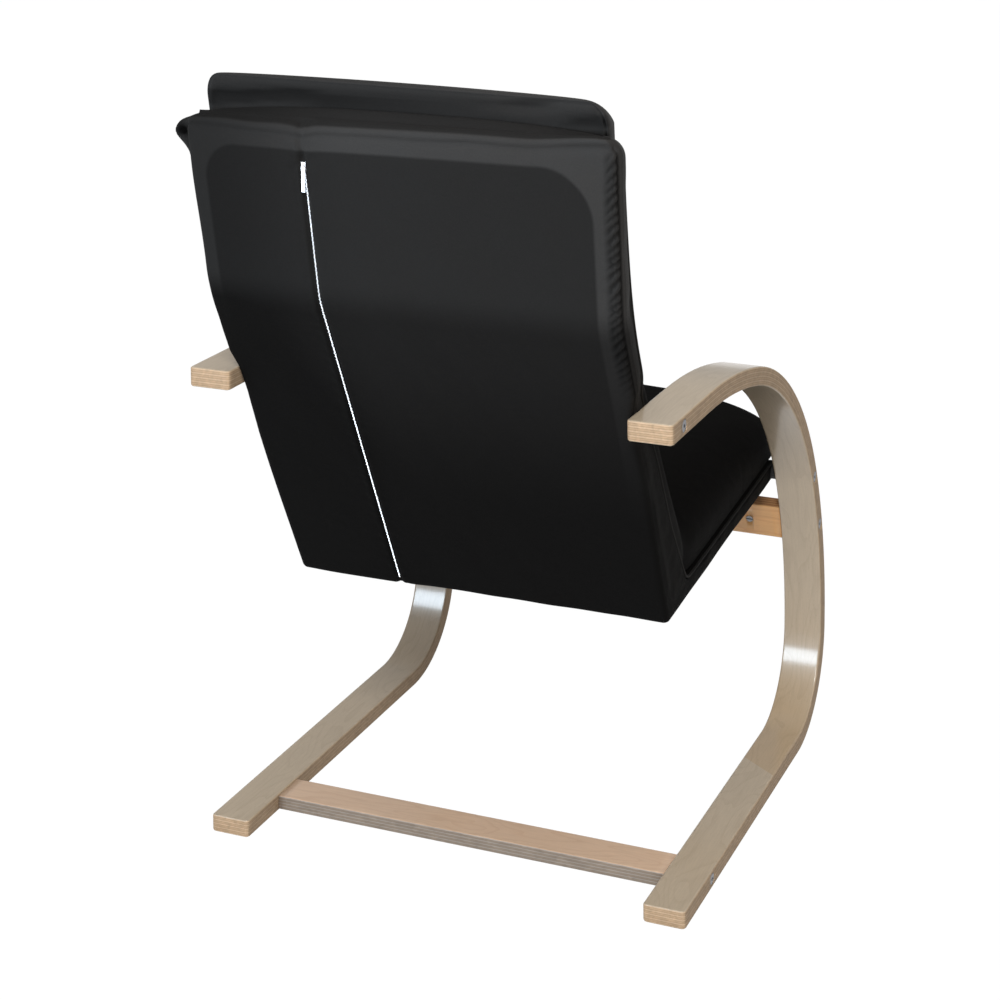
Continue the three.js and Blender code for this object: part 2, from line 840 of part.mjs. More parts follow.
// One ring of points round the cushion: widest near the sleeve, crowned towards the sitter
function cushionRing(station) {
  const ring = [];
  for (let i = 0; i < cushionSectionSteps; i += 1) {
    const angle = (i / cushionSectionSteps) * 2 * Math.PI;
    const across = Math.cos(angle);
    const through = Math.sin(angle);
    const towardsSitter = through > 0;
    const sidePower = towardsSitter ? cushionFrontSidePower : cushionSidePower;
    const widthShare = Math.sign(across) * Math.abs(across) ** sidePower;
    const reach = towardsSitter ? 1 - cushionRimShare : -cushionRimShare;
    const rise = cushionRimShare + reach * Math.abs(through) ** cushionFacePower;
    const depthShare = rise * (1 - cushionCrownShare * widthShare * widthShare);
    const place = station.back.clone().lerp(station.face, depthShare);
    ring.push(new THREE.Vector3(widthShare * station.halfWidth, place.x, place.y));
  }
  return ring;
}

function buildCushion() {
  const rings = cushionStations().map(cushionRing);
  const count = cushionSectionSteps;
  const places = rings.flat().flatMap((place) => place.toArray());
  const faces = [];
  for (let r = 0; r < rings.length - 1; r += 1) {
    for (let i = 0; i < count; i += 1) {
      const next = (i + 1) % count;
      const a = r * count + i;
      const b = r * count + next;
      faces.push(a, b, a + count, b, b + count, a + count);
    }
  }
  const lastRing = (rings.length - 1) * count;
  for (let i = 1; i < count - 1; i += 1) {
    faces.push(0, i + 1, i);
    faces.push(lastRing, lastRing + i, lastRing + i + 1);
  }
  const geometry = new THREE.BufferGeometry();
  geometry.setAttribute('position', new THREE.Float32BufferAttribute(places, 3));
  geometry.setIndex(faces);
  geometry.computeVertexNormals();
  addPiece('front_cushion', geometry, finishes.cotton());
}

function box(sizeX, sizeY, sizeZ, x, y, z) {
  const geometry = new THREE.BoxGeometry(sizeX, sizeY, sizeZ);
  geometry.translate(x, y, z);
  return geometry;
}

// Zip: a tape behind the rear panel, its chain standing in the slot, a slider and a hanging pull
function buildZip() {
  const tapeHalf = tapeWidth * half;
  const chainHalf = chainWidth * half;
  const tapeRear = sleeveWall + touchGap;
  const tapeBand = band(tapeRear, tapeRear + tapeThickness);
  const tape = plank(tapeBand, zipFromCentre - tapeHalf, zipFromCentre + tapeHalf);
  const chainBand = band(touchGap, tapeRear + tapeThickness * half);
  const chain = plank(chainBand, zipFromCentre - chainHalf, zipFromCentre + chainHalf);
  addPiece('zip_tape', join([tape, chain]), finishes.zipTape());

  const carrier = new THREE.Group();
  const [zipTop, zipBend] = zipCourse(0);
  const down = zipBend.clone().sub(zipTop).normalize();
  const seat = step(zipTop, down, sliderLength);
  carrier.position.set(zipFromCentre, seat.x, seat.y);
  carrier.rotation.x = -upperBackLean * degree;
  chair.add(carrier);
  const plateY = touchGap + sliderPlate * half;
  const flangeX = chainHalf + touchGap + sliderFlange * half;
  const flangeY = (touchGap - sliderFlangeDrop + sliderPlate) * half;
  const flangeHeight = sliderFlangeDrop + touchGap + sliderPlate;
  const bailY = touchGap + sliderPlate + bailHeight * half - touchGap;
  const boreY = bailY + bailHeight * half - bailBore - touchGap;
  const bore = crossBar(bailBore, -bailWidth, bailWidth, point(boreY, 0), roundSteps);
  const slider = cut(join([
    box(sliderWidth, sliderPlate, sliderLength, 0, plateY, 0),
    box(sliderFlange, flangeHeight, sliderLength, flangeX, flangeY, 0),
    box(sliderFlange, flangeHeight, sliderLength, -flangeX, flangeY, 0),
    box(bailWidth, bailHeight, bailLength, 0, bailY, 0),
  ]), [bore]);
  addPiece('zip_slider', slider, finishes.steel(), carrier);

  const pinPlace = seat.clone();
  pinPlace.x += boreY * Math.cos(upperBackLean * degree);
  pinPlace.y -= boreY * Math.sin(upperBackLean * degree);
  const armX = pullWidth * half - pullPlate * half;
  const plateLength = pullLength - pullArmLength;
  const pull = join([
    crossBar(pullPinRadius, -armX, armX, point(0, 0), roundSteps),
    box(pullPlate, pullPlate, pullArmLength + pullPlate, armX, 0, -pullArmLength * half),
    box(pullPlate, pullPlate, pullArmLength + pullPlate, -armX, 0, -pullArmLength * half),
    box(pullWidth, pullPlate, plateLength, 0, 0, -pullArmLength - plateLength * half),
  ]);
  const hanger = addPiece('zip_pull', pull, finishes.steel());
  hanger.position.set(zipFromCentre, pinPlace.x, pinPlace.y);
}

buildFrames();
buildRails();
buildSleeve();
buildSideRails();
buildUnitFixings();
buildCrossRails();
buildStraps();
buildCushion();
buildZip();

// The chair moves so that its origin is the middle of its footprint on the floor
chair.updateMatrixWorld(true);
const extent = new THREE.Box3().setFromObject(chair, true);
const middle = extent.getCenter(new THREE.Vector3());
chair.position.set(-middle.x, -middle.y, -extent.min.z);

export default chair;
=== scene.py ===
# %% [markdown]
# # A bentwood lounge chair, dressed
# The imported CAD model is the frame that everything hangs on. This lesson lays the visible
# materials and soft pieces over it: two bent birch frames, two rails, a black cotton cover
# with a zip over the back, one long cushion, and the webbing inside.

import math
import bmesh
import bpy
import numpy as np
from mathutils import Matrix, Vector, noise
from mathutils.bvhtree import BVHTree
from mathutils.interpolate import poly_3d_calc


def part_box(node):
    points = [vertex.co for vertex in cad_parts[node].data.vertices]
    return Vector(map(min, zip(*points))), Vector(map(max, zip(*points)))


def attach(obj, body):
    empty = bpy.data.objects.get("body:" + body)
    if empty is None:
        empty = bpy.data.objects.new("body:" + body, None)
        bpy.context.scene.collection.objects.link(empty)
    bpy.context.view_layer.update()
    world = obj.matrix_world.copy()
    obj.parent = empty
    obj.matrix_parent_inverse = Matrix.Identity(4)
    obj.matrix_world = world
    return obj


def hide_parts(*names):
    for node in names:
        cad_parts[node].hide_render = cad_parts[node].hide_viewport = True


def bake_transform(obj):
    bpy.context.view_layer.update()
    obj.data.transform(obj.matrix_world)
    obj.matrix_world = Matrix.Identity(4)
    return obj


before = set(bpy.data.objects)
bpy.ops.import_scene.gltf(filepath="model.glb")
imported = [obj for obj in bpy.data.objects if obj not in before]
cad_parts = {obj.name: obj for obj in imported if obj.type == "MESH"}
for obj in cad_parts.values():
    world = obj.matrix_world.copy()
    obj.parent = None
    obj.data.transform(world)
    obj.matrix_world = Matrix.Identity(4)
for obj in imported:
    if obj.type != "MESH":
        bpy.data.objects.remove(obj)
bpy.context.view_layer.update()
print("nodes in the frame:", len(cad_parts))

# %% [markdown]
# Lengths are written in millimetres, as a workshop would, with y counted from the rear ends of
# the runners. One helper turns such a place into Blender metres. Reading the shift from the
# packed runner keeps every new piece on the frame without any fitting.

# %% From workshop millimetres to the frame
MM = 0.001
rear_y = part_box("left_runner")[1][1]


def placed(points):
    points = np.asarray(points, dtype=float) * MM
    points[..., 1] += rear_y
    return points


print("runner rear ends at y =", round(rear_y, 4))

# %% [markdown]
# ## Camera and light
# The picture looks down on the back of the chair with a long lens. A camera can be turned by
# angles, but a heading and a drop below the horizon are easier to check, so the direction is
# built from these two.

# %% Camera
camera_heading = math.radians(22.6)
camera_drop = math.radians(19.6)
camera_place = Vector(placed((-974.5, 2140.2, 1338.1)))
camera_lens = 76.8
looking = Vector((
    math.sin(camera_heading) * math.cos(camera_drop),
    -math.cos(camera_heading) * math.cos(camera_drop),
    -math.sin(camera_drop),
))
camera = bpy.data.objects.new("camera", bpy.data.cameras.new("camera"))
bpy.context.scene.collection.objects.link(camera)
camera.location = camera_place
camera.rotation_euler = looking.to_track_quat("-Z", "Y").to_euler()
camera.data.lens = camera_lens
camera.data.sensor_width = 36
camera.data.clip_end = 50
bpy.context.scene.camera = camera
print("camera stands", round(camera_place.length, 2), "m from the middle of the floor")

# %% [markdown]
# Nodes are set up the same way in every material, so one helper makes a node, sets its values
# and joins its inputs. The others are shorthand for what every finish needs: arithmetic between
# sockets, a mix of two colours, a new range for a value, a noise, and a bump.

# %% Helpers for nodes
def put(tree, kind, inputs=None, **settings):
    made = tree.nodes.new(kind)
    for key, value in settings.items():
        setattr(made, key, value)
    for key, value in (inputs or {}).items():
        if isinstance(value, bpy.types.NodeSocket):
            tree.links.new(value, made.inputs[key])
        else:
            made.inputs[key].default_value = value
    return made


def sum_of(tree, operation, first, second=0.0, third=0.0):
    inputs = {0: first, 1: second, 2: third}
    return put(tree, "ShaderNodeMath", inputs, operation=operation).outputs[0]


def mixed(tree, share, first, second, blend="MIX"):
    made = put(tree, "ShaderNodeMix", {0: share, 6: first, 7: second}, data_type="RGBA", blend_type=blend)
    return made.outputs[2]


def ranged(tree, value, low_high=(0.0, 1.0), to=(0.0, 1.0)):
    limits = {0: value, 1: low_high[0], 2: low_high[1], 3: to[0], 4: to[1]}
    return put(tree, "ShaderNodeMapRange", limits).outputs[0]


def noise_of(tree, places, scale, detail, **more):
    inputs = {"Vector": places, "Scale": scale, "Detail": detail, **more}
    return put(tree, "ShaderNodeTexNoise", inputs).outputs["Fac"]


def bumped(tree, strength, distance, height, **more):
    inputs = {"Strength": strength, "Distance": distance, "Height": height, **more}
    return put(tree, "ShaderNodeBump", inputs).outputs[0]


def new_material(name):
    material = bpy.data.materials.new(name)
    material.use_nodes = True
    tree = material.node_tree
    return material, tree, tree.nodes["Principled BSDF"]


print("node helpers ready")

# %% [markdown]
# The object stands in a white room. A white floor would grey out under soft light, so what the
# camera sees of floor and backdrop is mostly plain white, while the floor still takes a faint
# share of the real shadow. Mirrors and metal see the same white.

# %% Floor and world
floor_half = 12.0
floor_shade_share = 0.05
white_glow = 1.05
surround_strength = 0.34


def white_room_material(name, shade_share):
    material, tree, shader = new_material(name)
    shader.inputs["Base Color"].default_value = (0.6, 0.6, 0.6, 1)
    shader.inputs["Roughness"].default_value = 0.9
    path = put(tree, "ShaderNodeLightPath")
    seen = sum_of(tree, "MAXIMUM", path.outputs["Is Camera Ray"], path.outputs["Is Glossy Ray"])
    seen = sum_of(tree, "MAXIMUM", seen, path.outputs["Is Transmission Ray"])
    share = sum_of(tree, "MULTIPLY", seen, 1 - shade_share)
    glow = put(tree, "ShaderNodeEmission", {"Color": (1, 1, 1, 1), "Strength": white_glow})
    blend = put(tree, "ShaderNodeMixShader", {0: share, 1: shader.outputs[0], 2: glow.outputs[0]})
    tree.links.new(blend.outputs[0], tree.nodes["Material Output"].inputs["Surface"])
    return material


floor_data = bpy.data.meshes.new("floor")
corners = [(-floor_half, -floor_half, 0), (floor_half, -floor_half, 0),
           (floor_half, floor_half, 0), (-floor_half, floor_half, 0)]
floor_data.from_pydata(corners, [], [(0, 1, 2, 3)])
floor = bpy.data.objects.new("floor", floor_data)
bpy.context.scene.collection.objects.link(floor)
floor_data.materials.append(white_room_material("white_floor", floor_shade_share))

world = bpy.data.worlds.new("studio")
bpy.context.scene.world = world
world.use_nodes = True
sky = world.node_tree
surround = sky.nodes["Background"]
surround.inputs["Color"].default_value = (1, 1, 1, 1)
surround.inputs["Strength"].default_value = surround_strength
sky_path = put(sky, "ShaderNodeLightPath")
backdrop = put(sky, "ShaderNodeBackground", {"Color": (1, 1, 1, 1), "Strength": 1.0})
sky_mix = put(sky, "ShaderNodeMixShader", {0: sky_path.outputs["Is Camera Ray"],
                                           1: surround.outputs[0], 2: backdrop.outputs[0]})
sky.links.new(sky_mix.outputs[0], sky.nodes["World Output"].inputs["Surface"])
print("floor", 2 * floor_half, "m square")

# %% [markdown]
# The studio has soft boxes: a large one above, and one high up on the camera's side that
# reaches the back of the chair. Large lamps give soft edges to every shadow. A third, low and
# cool like a window, is taken out of the diffuse light, so that all it adds is the bright sheen
# where the varnished frames curve towards it.

# %% Lamps
def soft_box(name, place, target, size, power):
    data = bpy.data.lights.new(name, "AREA")
    data.shape = "RECTANGLE"
    data.size = size[0]
    data.size_y = size[1]
    data.energy = power
    lamp = bpy.data.objects.new(name, data)
    bpy.context.scene.collection.objects.link(lamp)
    lamp.location = place
    lamp.rotation_euler = (Vector(target) - Vector(place)).to_track_quat("-Z", "Y").to_euler()
    return lamp


view_settings = bpy.context.scene.view_settings
view_settings.view_transform = "Standard"
soft_box("lamp_behind_camera", (-0.9, 2.7, 2.7), (0, 0.1, 0.6), (1.4, 1.0), 80)
soft_box("lamp_above", (0.0, 0.4, 3.2), (0, 0, 0.5), (2.4, 2.4), 18)
window = soft_box("lamp_window", (0.85, 2.1, 0.95), (-0.1, -0.34, 0.1), (1.7, 1.0), 88)
window.data.color = (0.74, 0.87, 1.0)
window.visible_diffuse = False

# %% [markdown]
# ## The line of the bent frames
# Each side of the chair is one C in side view: a runner on the floor, a bend, an upright that
# sweeps back, and a flat arm. It can be walked along as a row of arcs. Finer steps than the
# CAD model's make the bends look turned instead of faceted.

# %% Walk along the bent strip
strip_width = 54.0
strip_thickness = 24.0
strip_rounding = 2.6
floor_width = 646.0
toe_in = 22.0
runner_run = 513.0
bend_legs = [(140.0, 90.0), (555.0, 26.6), (431.0, 50.0), (890.0, 13.4)]
arm_run = 137.0
fine_turn = 1.8
runner_steps = 40
arm_steps = 11


def walk_strip():
    stations = [(0.0, 0.0, 0.0)]
    forward, height, heading = 0.0, 0.0, 0.0
    for step in range(1, runner_steps + 1):
        stations.append((runner_run * step / runner_steps, 0.0, 0.0))
    forward = runner_run
    for radius, turn in bend_legs:
        steps = math.ceil(turn / fine_turn)
        for _ in range(steps):
            after = heading + math.radians(turn / steps)
            forward += radius * (math.sin(after) - math.sin(heading))
            height += radius * (math.cos(heading) - math.cos(after))
            heading = after
            stations.append((forward, height, heading))
    for step in range(1, arm_steps + 1):
        run = arm_run * step / arm_steps
        stations.append((forward + run * math.cos(heading), height + run * math.sin(heading), heading))
    return np.array(stations)


strip_line = walk_strip()
arm_height = strip_line[-1, 1]
arm_reach = strip_line[-1, 0]


def in_strip(station, depth):
    forward, height, heading = station
    return np.array([-(forward - depth * math.sin(heading)), height + depth * math.cos(heading)])


def frame_inner_x(height):
    return floor_width / 2 - toe_in * height / arm_height - strip_width


print("arm top at", round(arm_height, 1), "mm,", len(strip_line), "stations")

# %% [markdown]
# A sweep is a row of rings joined by faces. The same builder serves the bent strips, the
# rails, the cover, the cushion and the piping. Every ring may carry extra values, such as the
# direction of the grain, which a material reads back as an attribute.

# %% Build a mesh from rings
def ring_mesh(name, rings, closed_ends=True, values=None, value_name="grain"):
    rings = np.asarray(rings)
    count, sides = rings.shape[:2]
    faces = []
    for r in range(count - 1):
        for i in range(sides):
            a = r * sides + i
            b = r * sides + (i + 1) % sides
            faces.append((a, b, b + sides, a + sides))
    if closed_ends:
        faces.append(tuple(range(sides - 1, -1, -1)))
        faces.append(tuple((count - 1) * sides + i for i in range(sides)))
    data = bpy.data.meshes.new(name)
    data.from_pydata(rings.reshape(-1, 3).tolist(), [], faces)
    if values is not None:
        layer = data.attributes.new(value_name, "FLOAT_VECTOR", "POINT")
        layer.data.foreach_set("vector", np.asarray(values, dtype=np.float32).ravel())
    data.update()
    outward = bmesh.new()
    outward.from_mesh(data)
    bmesh.ops.recalc_face_normals(outward, faces=outward.faces)
    outward.to_mesh(data)
    outward.free()
    data.polygons.foreach_set("use_smooth", [True] * len(data.polygons))
    piece = bpy.data.objects.new(name, data)
    bpy.context.scene.collection.objects.link(piece)
    return piece


def rounded_section(width, thickness, rounding, steps=4, support=0.5):
    section = []
    middles = [(width - rounding, thickness - rounding), (rounding, thickness - rounding),
               (rounding, rounding), (width - rounding, rounding)]
    for quarter, (u, v) in enumerate(middles):
        first = math.radians(90 * quarter)
        for k in range(steps + 1):
            angle = first + math.radians(90 * k / steps)
            section.append((u + rounding * math.cos(angle), v + rounding * math.sin(angle)))
        last_u, last_v = section[-1]
        way = math.radians(90 * quarter + 180)
        section.append((last_u + support * math.cos(way), last_v + support * math.sin(way)))
        next_u, next_v = middles[(quarter + 1) % 4]
        start = math.radians(90 * (quarter + 1))
        onto = (next_u + rounding * math.cos(start), next_v + rounding * math.sin(start))
        section.append((onto[0] - support * math.cos(way), onto[1] - support * math.sin(way)))
    return section


print("section points:", len(rounded_section(strip_width, strip_thickness, strip_rounding)))

# %% [markdown]
# ## Side frames
# The real frame is nine birch veneers glued round a mould. Each side is swept along the
# stations with a rounded section, then slanted inwards as the chair stands. The sweep stores
# how far each point is across, into and along the strip, because the plies and the grain
# follow the bend. Sawn ends are softened at their corners. The recesses for the bolt heads are
# cut last; a cut makes new corners, and these take the grain of the surface beside them.

# %% Sweep the side frames
end_corner = 5.0
end_edge = 1.2
veneer_start = {"left": 0.0, "right": 20.0}


def end_narrowing(distance, corner):
    if distance >= corner:
        return 0.0
    return corner - math.sqrt(max(corner**2 - (corner - distance) ** 2, 0.0))


def side_frame(word, side):
    lengths = np.concatenate([[0], np.cumsum(np.hypot(*np.diff(strip_line[:, :2], axis=0).T))])
    total = lengths[-1]
    wanted = list(lengths)
    for near in (0.0, 0.35, 1.3, 2.8, 4.8):
        wanted += [near, total - near]
    wanted = np.unique(np.round(wanted, 3))
    section = rounded_section(strip_width, strip_thickness, strip_rounding)
    rings, grain = [], []
    for along in wanted:
        station = [np.interp(along, lengths, strip_line[:, k]) for k in range(3)]
        inset = max(end_narrowing(along, end_corner), end_narrowing(total - along, end_corner))
        edge = max(end_narrowing(along, end_edge), end_narrowing(total - along, end_edge))
        ring, ring_grain = [], []
        for u, v in section:
            across = inset + u * (strip_width - 2 * inset) / strip_width
            depth = edge + v * (strip_thickness - 2 * edge) / strip_thickness
            y, z = in_strip(station, depth)
            outer = floor_width / 2 - toe_in * z / arm_height
            ring.append((side * (outer - across), y, z))
            ring_grain.append((across * MM, depth * MM, along * MM + veneer_start[word]))
        rings.append(ring)
        grain.append(ring_grain)
    return ring_mesh(f"{word}_bent_frame", placed(rings), values=grain)


def carry_grain(before, after):
    """Gives every corner that a cut made the grain of the uncut surface next to it."""
    grain = np.empty(len(before.vertices) * 3, dtype=np.float32)
    before.attributes["grain"].data.foreach_get("vector", grain)
    grain = grain.reshape(-1, 3)
    places = [v.co.copy() for v in before.vertices]
    corners = [tuple(p.vertices) for p in before.polygons]
    surface = BVHTree.FromPolygons(places, corners)
    carried = []
    for vertex in after.vertices:
        place, _, face, _ = surface.find_nearest(vertex.co)
        shares = poly_3d_calc([places[c] for c in corners[face]], place)
        carried.append(sum(share * grain[c] for share, c in zip(shares, corners[face])))
    after.attributes["grain"].data.foreach_set("vector", np.array(carried, dtype=np.float32).ravel())


def drill(piece, cutters):
    for cutter in cutters:
        hole = piece.modifiers.new("hole", "BOOLEAN")
        hole.operation = "DIFFERENCE"
        hole.solver = "EXACT"
        hole.object = cutter
    depsgraph = bpy.context.evaluated_depsgraph_get()
    cut = bpy.data.meshes.new_from_object(piece.evaluated_get(depsgraph))
    piece.modifiers.clear()
    carry_grain(piece.data, cut)
    piece.data = cut
    for cutter in cutters:
        bpy.data.objects.remove(cutter)


def round_cutter(centre, axis, radius, length):
    tool = bmesh.new()
    bmesh.ops.create_cone(tool, cap_ends=True, segments=40, radius1=radius, radius2=radius, depth=length)
    data = bpy.data.meshes.new("cutter")
    turn = Vector(axis).to_track_quat("Z", "Y").to_matrix().to_4x4()
    tool.transform(Matrix.Translation(centre) @ turn)
    tool.to_mesh(data)
    tool.free()
    cutter = bpy.data.objects.new("cutter", data)
    bpy.context.scene.collection.objects.link(cutter)
    return cutter


head_radius = 7.9 * MM
head_recess = 2.9 * MM
recess_cutter = 15.0 * MM
side_frames = {}
for word, side in (("left", 1), ("right", -1)):
    bent = side_frame(word, side)
    bores = []
    for bolt in ("floor", "front", "seat", "arm"):
        low, high = (Vector(corner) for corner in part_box(f"{word}_{bolt}_bolt"))
        middle = (low + high) / 2
        outer_x = high.x if side > 0 else -low.x
        centre = (side * (outer_x + recess_cutter / 2 - head_recess), middle.y, middle.z)
        bores.append(round_cutter(centre, (1, 0, 0), head_radius, recess_cutter))
    drill(bent, bores)
    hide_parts(f"{word}_runner", f"{word}_upright_arm")
    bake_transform(bent)
    side_frames[word] = bent
    print(bent.name, len(bent.data.vertices), "points")

# %% [markdown]
# ## Rails
# Two boards join the frames: a pinker one flat on the floor end and an orange one under the
# seat. They are straight, so a box would nearly do, but their long edges are rounded over,
# their ends are cut to the slant of the frames, and the barrel nuts need their pockets.

# %% Rails between the frames
def middle_at(height):
    middles = np.array([in_strip(station, strip_thickness / 2) for station in strip_line])
    start = int(np.argmax(strip_line[:, 2] > math.radians(20)))
    index = start + int(np.argmax(middles[start:, 1] >= height))
    before, after = middles[index - 1], middles[index]
    share = (height - before[1]) / (after[1] - before[1])
    heading = np.interp(share, [0, 1], [strip_line[index - 1, 2], strip_line[index, 2]])
    return before + (after - before) * share, heading


seat_bolt_height = 386.0
front_rail_drop = 79.0
board_width = 54.0
floor_board_thickness = 20.0
front_board_thickness = 22.0
board_rounding = 2.4
board_gap = 0.3
floor_rail_setback = 82.0
floor_rail_lift = 2.0
nut_pocket_radius = 5.3 * MM
floor_rail_middle = np.array([-floor_rail_setback - board_width / 2,
                              floor_rail_lift + floor_board_thickness / 2])
front_rail_middle, front_rail_heading = middle_at(seat_bolt_height - front_rail_drop)


def cross_board(name, middle, climb, thickness):
    across = np.array([math.cos(climb), math.sin(climb)])
    through = np.array([math.sin(climb), -math.cos(climb)])
    section = rounded_section(board_width, thickness, board_rounding)
    rings, grain = [], []
    for share in np.linspace(-1, 1, 41):
        ring, ring_grain = [], []
        for u, v in section:
            y, z = middle + across * (u - board_width / 2) + through * (v - thickness / 2)
            x = share * (frame_inner_x(z) - board_gap)
            ring.append((x, y, z))
            ring_grain.append((u * MM, v * MM, x * MM))
        rings.append(ring)
        grain.append(ring_grain)
    return ring_mesh(name, placed(rings), values=grain)


floor_board = cross_board("floor_board", floor_rail_middle, 0.0, floor_board_thickness)
front_climb = math.pi - front_rail_heading
front_board = cross_board("front_board", front_rail_middle, front_climb, front_board_thickness)
for board, node, slot, body, axis in (
    (floor_board, "floor", "floor_rail_birch", "base", (0, 0, 1)),
    (front_board, "front", "front_rail_birch", "seat_unit",
     (0, math.sin(front_climb), -math.cos(front_climb))),
):
    pockets = []
    for word in ("left", "right"):
        low, high = (Vector(corner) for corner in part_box(f"{word}_{node}_nut"))
        pockets.append(round_cutter((low + high) / 2, axis, nut_pocket_radius, (high - low).length + MM))
    drill(board, pockets)
    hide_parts(f"{node}_rail")
    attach(board, body)
    print(board.name, len(board.data.vertices), "points")

# %% [markdown]
# Birch plywood shows its plies on every edge: pale layers with the grain along the strip and
# pinker ones with it across, parted by thin dark glue. A picture could be wrapped round, but
# it would smear on the bends. Here the colour comes from the depth that the sweep stored, and
# the grain is a noise stretched along the strip. On the right runner the wood is also made
# darker and warmer just beyond a slanted line, fading back along the strip.

# %% Birch plywood finish
def ply_birch(name, face, edge, cross, glue, sizes, roughness, figure=0.5, end_paleness_and_light=1.38, slanted_change=None):
    material, tree, shader = new_material(name)
    width, ply, plies = sizes
    grain = put(tree, "ShaderNodeAttribute", attribute_name="grain").outputs["Vector"]
    parts = put(tree, "ShaderNodeSeparateXYZ", {0: grain})
    across, raw_depth, along = parts.outputs
    thickness = plies * ply * MM
    depth = sum_of(tree, "MINIMUM", sum_of(tree, "MAXIMUM", raw_depth, 0.01 * MM), thickness - 0.01 * MM)

    def noise_at(scales, detail, spread=0.6, distortion=0.0):
        at = put(tree, "ShaderNodeCombineXYZ", {
            0: sum_of(tree, "MULTIPLY", across, scales[0]),
            1: sum_of(tree, "MULTIPLY", depth, scales[0]),
            2: sum_of(tree, "MULTIPLY", along, scales[1])})
        return noise_of(tree, at.outputs[0], 1.0, detail, Roughness=spread, Distortion=distortion)

    fibre = noise_at((620.0, 22.0), 4.0)
    cloud = noise_at((26.0, 7.0), 3.0, distortion=0.5)
    contour = noise_at((17.0, 4.2), 2.0, 0.45, 0.3)
    mottle = noise_at((120.0, 60.0), 3.0, 0.6, 0.8)
    pore = noise_at((1900.0, 190.0), 1.0)
    dark_face = tuple(channel * 0.84 for channel in face[:3]) + (1,)
    pale_face = tuple(min(channel * 1.08, 1) for channel in face[:3]) + (1,)
    streak = ranged(tree, fibre, (0.3, 0.7))
    wood = mixed(tree, sum_of(tree, "MULTIPLY", streak, 0.55), pale_face, dark_face)
    patch = ranged(tree, cloud, (0.35, 0.7), (0.0, 0.5 * figure))
    wood = mixed(tree, patch, wood, dark_face)
    swirl = ranged(tree, mottle, (0.42, 0.7), (0.0, 0.35 * figure))
    wood = mixed(tree, swirl, wood, pale_face)
    rings = sum_of(tree, "FRACT", sum_of(tree, "MULTIPLY", contour, 15.0))
    ring_line = ranged(tree, rings, (0.6, 1.0), (0.0, 0.26 * figure))
    wood = mixed(tree, ring_line, wood, dark_face, "MULTIPLY")
    dots = ranged(tree, pore, (0.63, 0.72), (0.0, 0.2))
    wood = mixed(tree, dots, wood, dark_face, "MULTIPLY")
    # Beyond a slanted line the wood turns darker and warmer, fading back along the strip.
    if slanted_change:
        change_at, slant, tint = slanted_change
        beyond = sum_of(tree, "SUBTRACT", along, sum_of(tree, "MULTIPLY_ADD", across, slant, change_at))
        other = ranged(tree, beyond, (0.0, 0.002))
        fade = ranged(tree, beyond, (0.05, 0.4), (1.0, 0.0))
        wood = mixed(tree, sum_of(tree, "MULTIPLY", other, fade), wood, tint, "MULTIPLY")

    to_face = sum_of(tree, "MINIMUM", depth, sum_of(tree, "SUBTRACT", thickness, depth))
    to_side = sum_of(tree, "MINIMUM", across, sum_of(tree, "SUBTRACT", width * MM, across))
    sawn = ranged(tree, to_face, (0.5 * MM, 0.9 * MM))
    end_grain = ranged(tree, to_side, (0.5 * MM, 1.5 * MM))
    layer = sum_of(tree, "DIVIDE", depth, ply * MM)
    odd = sum_of(tree, "FLOORED_MODULO", sum_of(tree, "FLOOR", layer), 2.0)
    part = sum_of(tree, "FRACT", layer)
    seam = sum_of(tree, "MINIMUM", part, sum_of(tree, "SUBTRACT", 1.0, part))
    line = ranged(tree, seam, (0.04, 0.13), (0.8, 0.0))
    saw_tone = ranged(tree, mottle, (0.3, 0.7), (0.86, 1.12))
    layers = mixed(tree, sum_of(tree, "MULTIPLY", line, sawn), mixed(tree, odd, edge, cross), glue)
    # The sawn ends are lightened: partly the paler end grain, partly painted light where the ends face the
    # lamps.
    lift = ranged(tree, end_grain, to=(1.0, end_paleness_and_light))
    layers = put(tree, "ShaderNodeVectorMath", {0: layers, "Scale": sum_of(tree, "MULTIPLY", lift, saw_tone)},
                 operation="SCALE").outputs[0]
    tree.links.new(mixed(tree, sawn, wood, layers), shader.inputs["Base Color"])

    gloss = ranged(tree, fibre, to=(roughness - 0.05, roughness + 0.08))
    matt = ranged(tree, sawn, to=(0.0, 0.28))
    tree.links.new(sum_of(tree, "ADD", gloss, matt), shader.inputs["Roughness"])
    coat = ranged(tree, sawn, to=(0.75, 0.0))
    tree.links.new(coat, shader.inputs["Coat Weight"])
    shine = ranged(tree, sawn, to=(0.5, 0.18))
    tree.links.new(shine, shader.inputs["Specular IOR Level"])
    shader.inputs["Coat Roughness"].default_value = 0.16
    relief = sum_of(tree, "ADD", fibre, sum_of(tree, "MULTIPLY", sum_of(tree, "MULTIPLY", line, sawn), -1.2))
    tree.links.new(bumped(tree, 0.25, 0.0001, relief), shader.inputs["Normal"])
    return material


ply_count = 9
runner_slanted_change = (veneer_start["right"] + 0.385, 0.75, (0.95, 0.86, 0.74, 1))
frame_birch = ply_birch(
    "frame_birch", (0.55, 0.445, 0.32, 1), (0.5, 0.37, 0.245, 1), (0.45, 0.32, 0.205, 1),
    (0.28, 0.155, 0.08, 1), (strip_width, strip_thickness / ply_count, ply_count), 0.33, slanted_change=runner_slanted_change)
floor_birch = ply_birch(
    "floor_rail_birch", (0.77, 0.54, 0.372, 1), (0.42, 0.37, 0.325, 1), (0.34, 0.285, 0.23, 1),
    (0.27, 0.16, 0.09, 1), (board_width, floor_board_thickness / ply_count, ply_count), 0.36, 0.7)
front_birch = ply_birch(
    "front_rail_birch", (0.79, 0.42, 0.155, 1), (0.5, 0.26, 0.11, 1), (0.38, 0.18, 0.075, 1),
    (0.16, 0.06, 0.03, 1), (board_width, front_board_thickness / ply_count, ply_count), 0.4, 0.9)


def dress(piece, material):
    piece.data.materials.clear()
    piece.data.materials.append(material)


